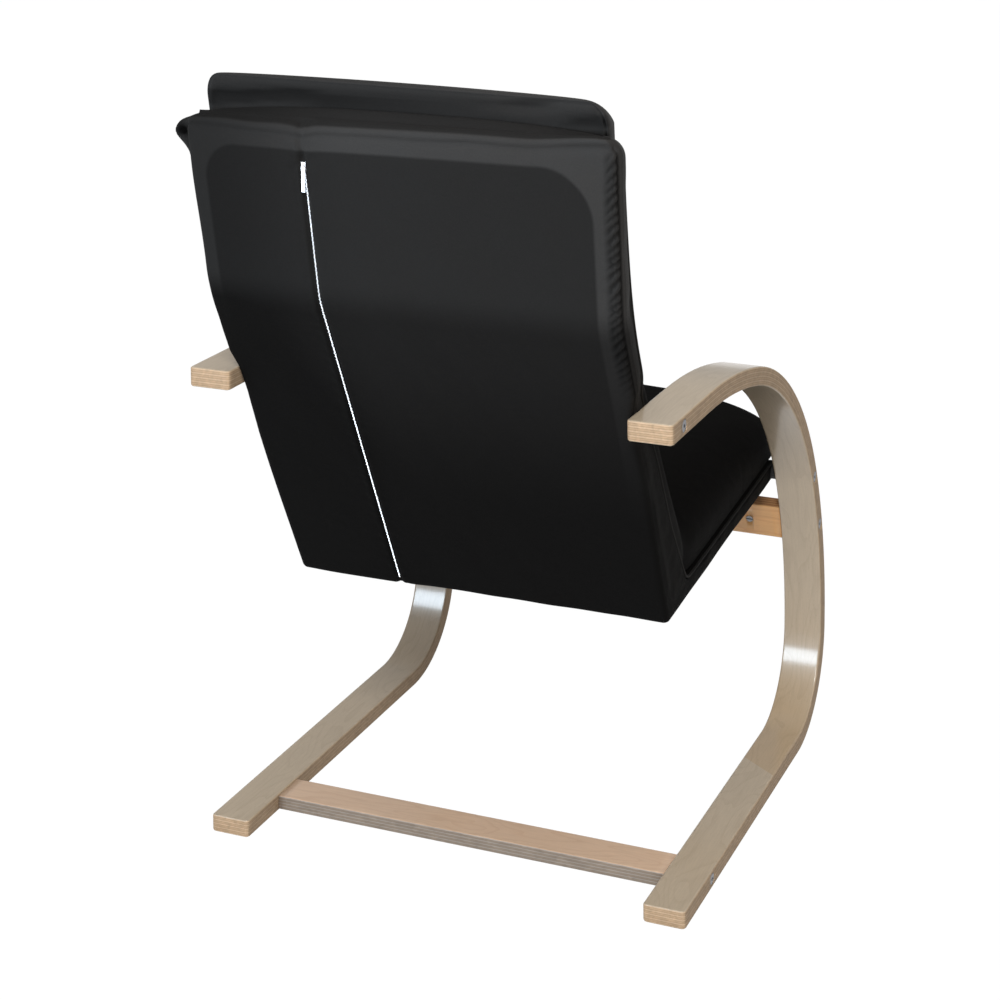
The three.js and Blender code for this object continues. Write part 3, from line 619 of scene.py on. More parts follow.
for bent in side_frames.values():
    dress(bent, frame_birch)
dress(floor_board, floor_birch)
dress(front_board, front_birch)

# %% [markdown]
# ## The line of the seat and back
# Seen from the side the upholstered unit is a bent line: a steep upper back, a leaning lower
# back, and a nearly level seat. It hangs on the arm bolts and the seat bolts. The same few
# lengths that place the hidden frame place the cover and the cushion.

# %% Middle line of the seat and back
unit_depth = 26.0
arm_bolt = np.array([-arm_reach - 40.0, arm_height - strip_thickness / 2])
seat_bolt, _ = middle_at(seat_bolt_height)


def towards(angle):
    return np.array([math.sin(math.radians(angle)), math.cos(math.radians(angle))])


def unit(vector):
    return vector / np.hypot(*vector)


def right_of(direction):
    return np.array([direction[1], -direction[0]])


def crossing(p, way_p, q, way_q):
    gap = q - p
    along = (gap[0] * way_q[1] - gap[1] * way_q[0]) / (way_p[0] * way_q[1] - way_p[1] * way_q[0])
    return p + way_p * along


def offset_line(points, distance):
    legs = [unit(b - a) for a, b in zip(points[:-1], points[1:])]
    moved = []
    for i, corner in enumerate(points):
        before = legs[max(i - 1, 0)]
        after = legs[min(i, len(legs) - 1)]
        side = unit(right_of(before) + right_of(after))
        moved.append(corner + side * distance / side.dot(right_of(before)))
    return moved


back_up = towards(25.8)
head_up = towards(9.6)
seat_forward = unit(np.array([-470.0, 43.0]))
back_bend = arm_bolt + back_up * 138.0
unit_line = [back_bend + head_up * 203.0, back_bend,
             crossing(arm_bolt, back_up, seat_bolt, seat_forward), seat_bolt + seat_forward * 18.0]
rear_top, rear_bend, rear_corner, rear_nose = offset_line(unit_line, -unit_depth / 2)
front_top, front_bend, front_corner, front_nose = offset_line(unit_line, unit_depth / 2)
cover_half = frame_inner_x(arm_height) - 0.3
gusset_forward = 52.0
gusset_up = 400.0
vee = front_corner + seat_forward * gusset_forward
shoulder = front_corner + back_up * gusset_up
knee = shoulder + (vee - shoulder) * 0.72 - right_of(unit(vee - shoulder)) * 8.0
print("top of the back at", np.round(unit_line[0], 1), "corner at", np.round(unit_line[2], 1))

# %% [markdown]
# ## The rear cover
# A black cotton sleeve is pulled over the hidden frame and closed by a zip. It could be a
# cloth simulation, but the fabric is stretched tight and its few folds are known, so the form
# is lofted: rows run from the top of the back round to the front of the seat, and each row is
# a ring through rear panel, boxing and front. Small forms are then raised along the normals:
# the edge of the padding, gathers beside the seams and slack folds.

# %% Rows of the cover
row_space = 3.2
roll_radius = 6.0
top_corner = 19.0


def eased(line, passes):
    line = line.copy()
    for _ in range(passes):
        line[1:-1] = line[1:-1] * 0.5 + (line[:-2] + line[2:]) * 0.25
    return line


def cover_rows():
    pairs = [
        (rear_top, front_top),
        (rear_bend, front_bend),
        (rear_corner + back_up * (gusset_up + 6), shoulder),
        (rear_corner + back_up * 135.0, knee),
        (rear_corner, knee + (vee - knee) * 0.72),
        (rear_corner + seat_forward * 62.0, vee),
        (rear_nose, front_nose),
    ]
    rear, front = [pairs[0][0]], [pairs[0][1]]
    bend_row = 0
    for leg, (start, end) in enumerate(zip(pairs[:-1], pairs[1:])):
        length = max(np.hypot(*(end[0] - start[0])), np.hypot(*(end[1] - start[1])))
        steps = max(2, round(length / row_space))
        for k in range(1, steps + 1):
            rear.append(start[0] + (end[0] - start[0]) * k / steps)
            front.append(start[1] + (end[1] - start[1]) * k / steps)
        if leg == 0:
            bend_row = len(rear) - 1
    rear, front = np.array(rear), np.array(front)
    near = slice(bend_row - 12, bend_row + 13)
    rear[near] = eased(rear[near], 12)
    bridged = slice(bend_row - 49, bend_row + 43)
    front[bridged] = eased(front[bridged], 870)
    return eased(rear, 2), eased(front, 17)


rear_rows, front_rows = cover_rows()
row_runs = np.concatenate([[0], np.cumsum(np.hypot(*np.diff(rear_rows, axis=0).T))])
rear_length = row_runs[-1]
bend_run = 203.0
print("rows:", len(row_runs), "length of the rear course:", round(rear_length), "mm")

# %% [markdown]
# Columns go round each row. They are close together at the zip and round the edges, where the
# small forms are, and wide elsewhere.

# %% Columns of the cover
zip_x = 108.0
zip_start = 39.0
back_length = float(np.hypot(*(rear_bend - rear_top)) + np.hypot(*(rear_corner - rear_bend)))
zip_end = back_length - 9.0
edge_round = 8.0
swell_runs = (0, 60, 180, 300, 326, 365, 430, 800)
side_swells = (5.6, 4.8, 6.0, 7.0, 1.0, 0.4, 2.8, 2.0)
front_round = 4.0


def rear_columns():
    reach = cover_half - edge_round
    beside = (1.8, 2.6, 3.4, 4.6, 6, 8, 11, 15)
    fine = [zip_x] + [zip_x + way * step for way in (-1, 1) for step in beside]
    right_edge = list(-reach + np.arange(0, 30, 3.0))
    left_edge = list(reach - np.arange(0, 30, 3.0))
    middle = list(np.linspace(-reach + 32, zip_x - 20, 52))
    other = list(np.linspace(zip_x + 20, reach - 31, 16))
    return np.array(sorted(right_edge + left_edge + middle + other + fine)) / reach


rear_x = rear_columns()
turn_angles = np.radians(np.linspace(0, 90, 9))[1:]
side_shares = np.linspace(0, 1, 12)[1:-1]
front_x = np.linspace(1, -1, 46)


def cover_ring(half_width, depth, inset):
    """(x, depth, kind) of one ring: 0 rear, 1 edge, 2 side, 3 front; from the right rear round."""
    reach = half_width - edge_round
    ring = [(share * reach, 0.0, 0) for share in rear_x]
    turned = [(reach + edge_round * math.sin(a), edge_round * (1 - math.cos(a)), 1) for a in turn_angles]
    deep = depth - front_round
    sides = [(half_width, edge_round + (deep - edge_round) * share, 2) for share in side_shares]
    last = [(half_width - front_round * (1 - math.cos(a)), deep + front_round * math.sin(a), 3)
            for a in np.radians([0, 30, 60, 90])]
    ring += turned + sides + last
    ring += [(share * (half_width - front_round), depth, 3) for share in front_x[1:-1]]
    ring += [(-x, d, kind) for x, d, kind in reversed(turned + sides + last)]
    ring = np.array(ring)
    ring[:, 1] = np.clip(ring[:, 1], inset, depth - inset)
    return ring


def cover_grid():
    runs = [top_corner * (1 - math.cos(math.radians(a))) for a in (0, 9, 18, 27, 36, 45, 54, 63, 72, 81)]
    runs += [r for r in row_runs if top_corner * 0.9 < r < rear_length - 12]
    runs += [rear_length - 12 * (1 - math.cos(math.radians(a))) for a in (80, 65, 50, 35, 20, 0)]
    grid, marks = [], []
    for run in runs:
        rear = np.array([np.interp(run, row_runs, rear_rows[:, k]) for k in range(2)])
        front = np.array([np.interp(run, row_runs, front_rows[:, k]) for k in range(2)])
        depth = np.hypot(*(front - rear))
        way = (front - rear) / depth
        flare = 3.0 * np.clip(1 - run / bend_run, 0, 1)
        swell = np.interp(run, swell_runs, side_swells)
        half_width = cover_half + swell + flare - end_narrowing(run, top_corner)
        half_width -= end_narrowing(rear_length - run, 14.0)
        inset = max(end_narrowing(run, roll_radius), end_narrowing(rear_length - run, 12.0))
        ring = cover_ring(half_width, depth, inset)
        yz = rear + ring[:, 1:2] * way
        grid.append(np.column_stack([ring[:, 0], yz]))
        marks.append(np.column_stack([np.full(len(ring), run), ring[:, 1], ring[:, 2]]))
    return np.array(grid), np.array(marks)


cover_points, cover_marks = cover_grid()
print("cover grid:", cover_points.shape[:2])

# %% [markdown]
# The stretched fabric is not smooth. The padding under the rear panel ends in a rounded
# rectangle, and beyond it the cloth falls away to the edges. Beside the long seam on the
# sitter's right the cloth is gathered into short slanting folds, the zip's stitching draws
# small puckers, and the loose upper corner on the left stands out like an ear and folds in.
# Sculpting could make these too, but sums of humps and waves are easy to move and to repeat.

# %% Helpers for small forms
def smooth_step(low, high, value):
    share = np.clip((value - low) / (high - low), 0, 1)
    return share * share * (3 - 2 * share)


def hump(distance, width):
    """1 in the middle, and nearly 0 at twice the width."""
    return np.exp(-(distance / width) ** 2)


def waves_at(across, down, seed):
    pairs = zip(across.ravel(), down.ravel())
    return np.array([noise.noise(Vector((a, b, seed))) for a, b in pairs]).reshape(across.shape)


def cloudy(x, y, scale, seed):
    return waves_at(x / scale, y / scale, seed)


print("half way up a soft step:", float(smooth_step(0, 1, 0.5)))

# %% [markdown]
# The edge of the padding is kept as a distance, negative over the padding and positive beyond
# it, so that one function serves both the form and the finish. Its upper corners differ.

# %% Padding under the rear panel
pad_half = {"left": 230.0, "right": 226.0}
pad_corner = {"left": 42.0, "right": 58.0}
pad_top = 28.0
pad_height = {"upper": 4.4, "lower": 1.2}


def padding_edge(x, run):
    """How far a point lies outside the rounded rectangle of the padding, below 0 inside it."""
    corner = np.where(x > 0, pad_corner["left"], pad_corner["right"])
    beside = np.abs(x) - np.where(x > 0, pad_half["left"], pad_half["right"]) + corner
    above = pad_top + corner - run
    outside = np.hypot(np.maximum(beside, 0), np.maximum(above, 0))
    return outside + np.minimum(np.maximum(beside, above), 0) - corner


def padding_fall(x, run):
    """The padding stands proud, falls away beyond its edge and leaves a channel for the zip."""
    edge = padding_edge(x, run)
    keep = 1 - smooth_step(170, 330, run)
    proud = pad_height["upper"] * keep + pad_height["lower"] * (1 - keep)
    channel = 1 - 0.75 * hump(x - zip_x, 9.0) * smooth_step(20, 40, run)
    return (proud - np.clip(edge, 0, 30) * 0.16 * keep) * channel


print("padding from", -pad_half["right"], "to", pad_half["left"], "mm across")

# %% [markdown]
# Gathers and puckers are small waves that stand beside a seam and fade away from it. A wave
# from a formula moves with its seam when a size changes.

# %% Gathers and puckers beside the seams
gather_pitch = 10.5
gather_slant = 0.9
gather_height = 2.1
pucker_pitch = 17.0
groove_depth = 2.2


def from_side_edge(x):
    return np.abs(x).max(axis=1, keepdims=True) - np.abs(x)


def side_gathers(x, run):
    """Short slanting folds beside the long seam on the sitter's right."""
    to_edge = from_side_edge(x)
    envelope = smooth_step(0, 3, to_edge) * (1 - smooth_step(11, 17, to_edge))
    length = smooth_step(2, 24, run) * (1 - smooth_step(230, 330, run)) * (x < 0)
    wander = cloudy(x * 0 + np.sign(x) * 50, run, 30.0, 4.0) * 4.0
    folds = np.sin((run - gather_slant * to_edge) / gather_pitch * 2 * math.pi + wander)
    return envelope * length * np.maximum(folds, -0.4) * gather_height


def zip_puckers(x, run):
    """The groove of the zip, its lips and small folds, the seam above it and a star at its top."""
    away = np.abs(x - zip_x)
    groove = -groove_depth * (1 - smooth_step(1.9, 4.0, away)) * smooth_step(30, 36, run)
    groove = groove * (1 - 0.7 * smooth_step(zip_end - 12, zip_end, run))
    lips = hump(away - 6.5, 3.0)
    wander = cloudy(x * 0, run, 30.0, 9.0)
    folds = np.sin((run + 0.5 * (x - zip_x)) / pucker_pitch * 2 * math.pi + wander * 6)
    small = folds * hump(away - 9, 6.0) * (0.35 + 0.5 * (1 - smooth_step(20, 110, run)))
    above_zip = smooth_step(6, 12, run) * (1 - smooth_step(30, 38, run))
    upper_seam = -0.8 * hump(x - zip_x, 1.6) * above_zip
    spread = np.hypot(x - zip_x, run - zip_start)
    rays = np.cos(5 * np.arctan2(run - zip_start, x - zip_x))
    star = rays * hump(spread, 15.0) * smooth_step(4, 8, spread)
    return groove + lips + small + upper_seam + star * 1.3


print("gathers every", gather_pitch, "mm, puckers every", pucker_pitch, "mm")

# %% [markdown]
# Away from the seams the cloth is slack. Its folds, its creases and the roll along the top come
# from a slow noise, which is the same on every run.

# %% Slack cloth and the roll along the top
roll_height = 1.8


def slack(x, run):
    """Slow unevenness, long slanting folds, and creases across the bend of the back."""
    low = cloudy(x, run, 130.0, 1.5) * 1.3
    folds = cloudy(x + run * 0.5, run * 0.34, 48.0, 6.3) * 0.8
    at_bend = smooth_step(150, 205, run) * (1 - smooth_step(225, 330, run))
    across = cloudy(x * 0.25, run, 26.0, 2.7) * 0.7 * at_bend
    beside_zip = smooth_step(3, 16, np.abs(x - zip_x))
    return (low + folds + across) * beside_zip


def top_roll(x, run):
    """A soft roll along the top edge with a crease under it."""
    crease = 10.5 + cloudy(x, run * 0, 60.0, 8.1) * 3.0
    depth = 1.6 + 1.2 * smooth_step(60, -120, x)
    return roll_height * hump(run - 4, 4.0) - depth * hump(run - crease, 2.6)


print("roll along the top:", roll_height, "mm high")

# %% [markdown]
# All small forms are summed, and the grid is raised along its normals. The panel across the
# top is then lifted, because the cushion pulls it up there, and it sags at the zip.

# %% Raise the surface of the cover
seam_depth = 4.0
ear_height = 17.0


def ear_pocket(x, run, depth, kind):
    """Where the loose upper corner on the left folds in."""
    return (x > 0) * (kind >= 1) * hump(depth - 7.5, 3.5) * hump(run - 19, 6.0)


def cover_relief(points, marks):
    """How far each point of the smooth cover is raised along its normal, in millimetres."""
    x = points[..., 0]
    run, depth, kind = marks[..., 0], marks[..., 1], marks[..., 2]
    rear_face = (kind <= 1) * (1 - smooth_step(2, edge_round, depth))
    panel_forms = (padding_fall, side_gathers, zip_puckers, slack, top_roll)
    height = rear_face * sum(form(x, run) for form in panel_forms)
    seam = (kind == 1) * hump(depth - seam_depth, 1.4) * -1.4 * (1 - 0.7 * smooth_step(300, 420, run))
    bulge = 1.2 * np.sin(np.clip(depth / unit_depth, 0, 1) * math.pi)
    side_folds = (kind == 2) * (cloudy(depth, run, 34.0, 3.3) * 1.6 + bulge)
    ear = (kind >= 1) * (x > 0) * smooth_step(1, 22, run) * (1 - smooth_step(20, 50, run)) * ear_height
    ear = ear * smooth_step(2, 13, depth) - 6.0 * ear_pocket(x, run, depth, kind)
    return height + seam + side_folds + ear


def raised(points, heights):
    around = np.roll(points, -1, axis=1) - np.roll(points, 1, axis=1)
    down = np.gradient(points, axis=0)
    normal = np.cross(around, down)
    size = np.linalg.norm(normal, axis=2, keepdims=True)
    normal = normal / np.maximum(size, 1e-9)
    outwards = np.sign((normal * (points - points.mean(axis=1, keepdims=True))).sum())
    return points + normal * outwards * heights[..., None]


def top_lift(points, marks):
    """The panel across the top rises to the cushion, sags at the zip and stands up on the right."""
    x, run, depth = points[..., 0], marks[..., 0], marks[..., 1]
    forward = np.clip(depth / unit_depth, 0, 1)
    front = 14.5 * (1 - np.abs(np.clip(x / 240.0, -1, 1)) ** 3) - 6.0 * smooth_step(224, 246, x)
    rear = -1.5 + 3.5 * smooth_step(160, -120, x) + 7.0 * smooth_step(150, 235, -x)
    rear = rear + 2.6 * smooth_step(165, 205, x) - 3.8 * hump(x - zip_x, 14.0)
    lift = (rear * (1 - forward) + front * forward) * (1 - smooth_step(0, 46, run))
    lifted = points.copy()
    lifted[..., 1:] += lift[..., None] * head_up
    return lifted


relief = cover_relief(cover_points, cover_marks)
cover_shape = top_lift(raised(cover_points, relief), cover_marks)
print("relief from", round(float(relief.min()), 1), "to", round(float(relief.max()), 1), "mm")

# %% [markdown]
# The grid is closed at both ends and becomes one mesh. Three values go with every point for
# the finish's painted light and shade: how far it lies beyond the padding, where the cloth is
# painted lighter, how deep in a seam or crease, where painted shade darkens it, and how low on
# the back, where painted shade darkens it too.

# %% Close the cover and store its painted light and shade
def closed_tops(points):
    """Adds rings that draw the first and last ring together to its middle line."""
    rings = list(points)
    for end in (0, -1):
        ring = points[end]
        middle = ring.copy()
        middle[:, 1:] = ring[:, 1:].mean(axis=0)
        extra = [ring + (middle - ring) * share for share in (0.35, 0.7, 0.96)]
        if end == 0:
            rings = extra[::-1] + rings
        else:
            rings = rings + extra
    return np.array(rings)


def cover_painted_shading(marks, points):
    """For painted light and shade: x is millimetres clear of the padding, where the cloth is painted lighter;
    y painted shade in seams, creases and the ear's pocket; z painted shade low on the back and towards the
    left.
    """
    x, run, depth, kind = points[..., 0], marks[..., 0], marks[..., 1], marks[..., 2]
    # Painted light: beyond the edge of the padding the cloth is painted lighter, and the boxing sides a
    # little.
    clear = np.where(kind <= 1, np.clip(padding_edge(x, run), -20, 20), 1.3)
    clear = np.where(kind == 3, -6.0, np.minimum(clear, run * 2.5 - 4.0))
    panel = (kind == 0) + (kind == 1) * (depth < seam_depth - 0.5)
    # Painted shade: a strip beside the right seam, the valleys of the gathers, the stitched seams and the
    # pocket of the ear.
    at_gathers = smooth_step(6, 30, run) * (1 - smooth_step(220, 320, run))
    strip = (x < 0) * panel * (1 - smooth_step(12, 17, from_side_edge(x))) * at_gathers * 0.3
    creases = np.clip(-side_gathers(x, run), 0, 1) * panel * 0.4
    stitched = (kind == 1) * hump(depth - seam_depth, 1.3) * (1 - smooth_step(280, 380, run))
    stitched = stitched * smooth_step(8, 20, run) * np.where(x < 0, 0.95, 0.25)
    shade = np.clip(stitched + strip + creases + 1.5 * ear_pocket(x, run, depth, kind), 0, 1)
    # Painted shade: darker below the bend of the back, where the cloth faces down, and towards the sitter's
    # left.
    low = 0.55 * smooth_step(178, 228, run) + 0.45 * smooth_step(228, 520, run)
    low = low + 0.55 * smooth_step(40, 235, x)
    return np.stack([clear, shade, np.clip(low, 0, 1)], axis=-1)


painted_shading_values = cover_painted_shading(cover_marks, cover_points)
panel_painted_shading = np.repeat(painted_shading_values[:1], 3, axis=0)
panel_painted_shading[..., 0] = -6.0
painted_shading_values = np.concatenate([panel_painted_shading, painted_shading_values, np.repeat(painted_shading_values[-1:], 3, axis=0)])
rear_cover = ring_mesh("rear_cover", placed(closed_tops(cover_shape)), values=painted_shading_values, value_name="painted_shading")
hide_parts("cover_sleeve")
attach(rear_cover, "seat_unit")
print("rear cover:", len(rear_cover.data.vertices), "points")

# %% [markdown]
# Black cotton twill looks grey where light grazes it, because loose fibres stand up. The
# finish is a dark base with a rough surface, a little sheen for the fibres, a fine weave in
# the bump, and slow cloudiness where the cloth was pressed and handled. The values that the
# mesh carries paint light and shade into the cloth: painted light lightens it beyond the
# padding, and painted shade darkens its seams, creases and lower part. The same values scale
# its sheen and its specular.

# %% Black cotton finish
def weave_of(tree, places, pitch):
    """Crossing waves of the warp and the weft."""
    parts = put(tree, "ShaderNodeSeparateXYZ", {0: places})
    weft = sum_of(tree, "ADD", parts.outputs[1], parts.outputs[2])
    turns = 2 * math.pi / pitch
    warp_wave = sum_of(tree, "SINE", sum_of(tree, "MULTIPLY", parts.outputs[0], turns))
    weft_wave = sum_of(tree, "SINE", sum_of(tree, "MULTIPLY", weft, turns))
    return sum_of(tree, "MULTIPLY", warp_wave, weft_wave)


def cotton(name, base, sheen, weave=0.0011, crease=0.5, painted_band_light_lift=2.1, painted_low_share=0.32):
    material, tree, shader = new_material(name)
    places = put(tree, "ShaderNodeTexCoord").outputs["Object"]
    cloth = weave_of(tree, places, weave)
    fuzz = noise_of(tree, places, 900.0, 3.0)
    clouds = noise_of(tree, places, 7.0, 4.0, Roughness=0.6)
    folds = noise_of(tree, places, 24.0, 4.0, Distortion=0.8)
    painted_shading = put(tree, "ShaderNodeAttribute", attribute_name="painted_shading").outputs["Vector"]
    painted_band_light, seam, low = put(tree, "ShaderNodeSeparateXYZ", {0: painted_shading}).outputs
    # Painted light: the cloth beyond the padding is painted lighter, less so low on the back.
    painted_band_light = put(tree, "ShaderNodeMapRange", {0: painted_band_light, 1: -1.5, 2: 3.0},
               interpolation_type="SMOOTHSTEP").outputs[0]
    painted_band_light = sum_of(tree, "MULTIPLY", painted_band_light, sum_of(tree, "SUBTRACT", 1.0, low))
    lift = ranged(tree, painted_band_light, to=(1.0, painted_band_light_lift))
    # Painted shade: seams and creases darken, and the low cloth falls to a share of its tone.
    painted_seam_shade = ranged(tree, seam, to=(1.0, 0.12))
    painted_low_shade = ranged(tree, low, to=(1.0, painted_low_share))
    painted_light_level = sum_of(tree, "MULTIPLY", sum_of(tree, "MULTIPLY", lift, painted_seam_shade), painted_low_shade)
    shade = ranged(tree, clouds, (0.3, 0.7), (0.82, 1.18))
    speck = ranged(tree, fuzz, (0.3, 0.7), (0.8, 1.2))
    tone = sum_of(tree, "MULTIPLY", sum_of(tree, "MULTIPLY", shade, speck), painted_light_level)
    colour = put(tree, "ShaderNodeVectorMath", {0: base, "Scale": tone}, operation="SCALE")
    tree.links.new(colour.outputs[0], shader.inputs["Base Color"])
    tree.links.new(ranged(tree, clouds, to=(0.78, 0.94)), shader.inputs["Roughness"])
    shader.inputs["Sheen Roughness"].default_value = 0.45
    # The painted light and shade also scale the specular and the sheen.
    tree.links.new(sum_of(tree, "MULTIPLY", painted_light_level, 0.19), shader.inputs["Specular IOR Level"])
    tree.links.new(sum_of(tree, "MULTIPLY", painted_light_level, sheen), shader.inputs["Sheen Weight"])
    soft = bumped(tree, crease, 0.002, folds)
    fine_height = sum_of(tree, "ADD", cloth, sum_of(tree, "MULTIPLY", fuzz, 1.5))
    fine = bumped(tree, 0.35, 0.00015, fine_height, Normal=soft)
    tree.links.new(fine, shader.inputs["Normal"])
    return material


sleeve_cotton = cotton("sleeve_cotton", (0.0083, 0.0072, 0.0063), 0.026)
cushion_cotton = cotton("cushion_cotton", (0.0096, 0.0086, 0.0078), 0.032, crease=0.7)
dress(rear_cover, sleeve_cotton)
print("cotton on the cover")

# %% [markdown]
# ## Piping
# A thin cord covered in the same cotton closes the front edges of the sleeve, from the back
# down into the corner and along the seat. A curve with a bevel would do, but a swept tube is a
# plain mesh that bends and exports like the rest.

# %% Tubes along a course
def tube_rings(course, radius, sides=10):
    course = np.asarray(course, dtype=float)
    ways = np.gradient(course, axis=0)
    ways /= np.linalg.norm(ways, axis=1, keepdims=True)
    normal = np.cross(ways[0], (0.0, 0.0, 1.0))
    if np.linalg.norm(normal) < 0.1:
        normal = np.cross(ways[0], (1.0, 0.0, 0.0))
    rings = []
    for place, way in zip(course, ways):
        normal = normal - way * normal.dot(way)
        normal /= np.linalg.norm(normal)
        other = np.cross(way, normal)
        angles = np.linspace(0, 2 * math.pi, sides, endpoint=False)
        rings.append([place + radius * (math.cos(a) * normal + math.sin(a) * other) for a in angles])
    return np.array(rings)


def smooth_course(points, space=5.0, passes=6):
    points = np.asarray(points, dtype=float)
    runs = np.concatenate([[0], np.cumsum(np.linalg.norm(np.diff(points, axis=0), axis=1))])
    wanted = np.linspace(0, runs[-1], max(4, round(runs[-1] / space)))
    course = np.column_stack([np.interp(wanted, runs, points[:, k]) for k in range(3)])
    return eased(course, passes)


piping_radius = 1.7
piping_lengths = []
for word, side, first_run in (("left", 1, 56.0), ("right", -1, 22.0)):
    begin = int(np.argmax(row_runs > first_run))
    swells = np.interp(row_runs[begin:-1], swell_runs, side_swells)
    edge = [(side * (cover_half + swell - 0.6), y, z) for swell, (y, z) in zip(swells, front_rows[begin:-1])]
    course = smooth_course(edge)
    piping_lengths.append(round(float(np.linalg.norm(np.diff(course, axis=0), axis=1).sum())))
    tubes = tube_rings(course, piping_radius)
    fallen = np.linspace(0, 1, len(tubes))[:, None] * np.ones(tubes.shape[1])
    # Painted light and shade: the cord is painted lighter like the cloth beyond the padding, and painted
    # shade darkens it more towards the seat.
    piping_painted_shading = np.stack([fallen * 0 + 1.0, fallen * 0, 0.3 + 0.35 * fallen], axis=-1)
    piping = ring_mesh(f"{word}_edge_piping", placed(tubes), values=piping_painted_shading, value_name="painted_shading")
    dress(piping, sleeve_cotton)
    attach(piping, "seat_unit")
print("piping left and right:", piping_lengths, "mm")

# %% [markdown]
# ## The long cushion
# One pad runs from above the top of the back to the front of the seat. It is a closed bag of
# cotton round a foam core, so it is swept from stations with a crowned section and then blown
# up by a short cloth simulation, which gives it the tight, slightly wrinkled look that a
# smooth sweep lacks. The side that lies on the cover is held.

# %% Stations of the cushion
cushion_thickness = 88.0
foam_share = 0.96
crown_share = 0.2
cushion_rise = 40.5
top_round = 30.0
top_thin = 0.16
top_corners = {"left": 18.0, "right": 24.0}
rim_share = 0.2
rim_share_ends = 0.08
seat_gap = 2.0
side_gap = 10.0
nose_overhang = 30.0
nose_round = 28.0
nose_thin = 0.45
nose_corner = 5.0
knee_pinch = 3.0


def rounded_corner(before, corner, after, radius, steps):
    back = unit(before - corner)
    ahead = unit(after - corner)
    half_angle = math.acos(np.clip(back.dot(ahead), -1, 1)) / 2
    start = corner + back * radius / math.tan(half_angle)
    end = corner + ahead * radius / math.tan(half_angle)
    centre = corner + unit(back + ahead) * radius / math.sin(half_angle)
    first = start - centre
    last = end - centre
    arc = []
    for k in range(steps + 1):
        mix = first + (last - first) * k / steps
        arc.append(centre + unit(mix) * radius)
    return arc


def face_places(line, radius, leg_steps):
    corner = len(line) - 2
    arc = rounded_corner(line[corner - 1], line[corner], line[corner + 1], radius, 12)
    places = []
    for i in range(corner - 1):
        places += [line[i] + (line[i + 1] - line[i]) * k / leg_steps[i] for k in range(leg_steps[i])]
    steps = leg_steps[corner - 1]
    places += [line[corner - 1] + (arc[0] - line[corner - 1]) * k / steps for k in range(steps)]
    places += arc[:-1]
    steps = leg_steps[corner]
    places += [arc[-1] + (line[corner + 1] - arc[-1]) * k / steps for k in range(steps + 1)]
    return np.array(places)


def cushion_half(height):
    spread = np.clip((shoulder[1] - height) / (shoulder[1] - knee[1]), 0, 1)
    return cover_half - side_gap + (side_gap - seat_gap) * spread


def cushion_stations():
    line = offset_line([front_top, front_bend, shoulder, knee, vee, front_nose], 0.6)
    head = unit(line[0] - line[1])
    ahead = unit(line[-1] - line[-2])
    line[0] = line[0] + head * (cushion_rise - top_round)
    line[-1] = line[-1] + ahead * (nose_overhang - nose_round)
    spaces = [4.5] + [8.0] * (len(line) - 2)
    steps = [round(np.hypot(*(b - a)) / space) for a, b, space in zip(line[:-1], line[1:], spaces)]
    backs = eased(face_places(line, 30.0, steps), 8)
    fronts = eased(face_places(offset_line(line, cushion_thickness), 26.0, steps), 14)
    stations = []
    for angle in range(90, 0, -9):
        a = math.radians(angle)
        thin = top_thin + (1 - top_thin) * (1 - math.sin(a)) ** 0.9
        base = backs[0] + head * top_round * math.sin(a)
        narrowed = [cushion_half(base[1]) - corner * (1 - math.cos(a)) for corner in top_corners.values()]
        stations.append((base, base + (fronts[0] - backs[0]) * thin, *narrowed))
    pinch_at = len(backs) - steps[-1] - 7
    for i, (back, face) in enumerate(zip(backs, fronts)):
        near = max(0.0, 1 - abs(i - pinch_at) / 9)
        half_width = cushion_half(back[1]) - knee_pinch * near
        stations.append((back, face, half_width, half_width))
    for angle in range(9, 91, 9):
        a = math.radians(angle)
        thin = nose_thin + (1 - nose_thin) * math.cos(a)
        base = backs[-1] + ahead * nose_round * math.sin(a)
        half_width = cushion_half(base[1]) - nose_corner * (1 - math.cos(a))
        stations.append((base, base + (fronts[-1] - backs[-1]) * thin, half_width, half_width))
    return stations


cushion_line = cushion_stations()
print("cushion stations:", len(cushion_line))

# %% Rings of the cushion
cushion_sides = 104


def cushion_rings():
    rings, holds = [], []
    last = len(cushion_line) - 1
    for i, (back, face, left_half, right_half) in enumerate(cushion_line):
        ring, hold = [], []
        end_hold = float(np.clip((19 - min(i / 1.6, last - i)) / 8, 0, 1))
        high = float(smooth_step(840, 920, face[1]))
        near_end = max(high, float(smooth_step(660, 520, face[1])))
        share = rim_share + (rim_share_ends - rim_share) * near_end
        for k in range(cushion_sides):
            angle = 2 * math.pi * (k + 0.5) / cushion_sides
            across = math.copysign(abs(math.cos(angle)) ** 0.3, math.cos(angle))
            sitter_side = math.sin(angle) > 0
            reach = 1 - share if sitter_side else -share
            through = abs(math.sin(angle)) ** (0.6 if sitter_side else 0.3)
            if sitter_side:
                across = math.copysign(abs(math.cos(angle)) ** (0.45 + 0.4 * high), math.cos(angle))
            depth = (share + reach * through) * (1 - crown_share * across * across)
            y, z = back + (face - back) * depth * foam_share
            ring.append((across * ((left_half if across > 0 else right_half) - 1.0), y, z))
            hold.append(1.0 if not sitter_side and through > 0.75 else end_hold)
        rings.append(ring)
        holds.append(hold)
    return np.array(rings), np.array(holds)


def settled(shape):
    """The top of the pad hangs a little lower towards the sitter's right."""
    top = smooth_step(820, 960, shape[..., 2])
    lean = 0.5 - shape[..., 0] / (2 * cover_half)
    shape[..., 2] += top * (1.0 - 4.5 * lean)
    return shape


cushion_shape, cushion_hold = cushion_rings()
cushion_shape = settled(cushion_shape)
print("cushion rings:", cushion_shape.shape[:2])

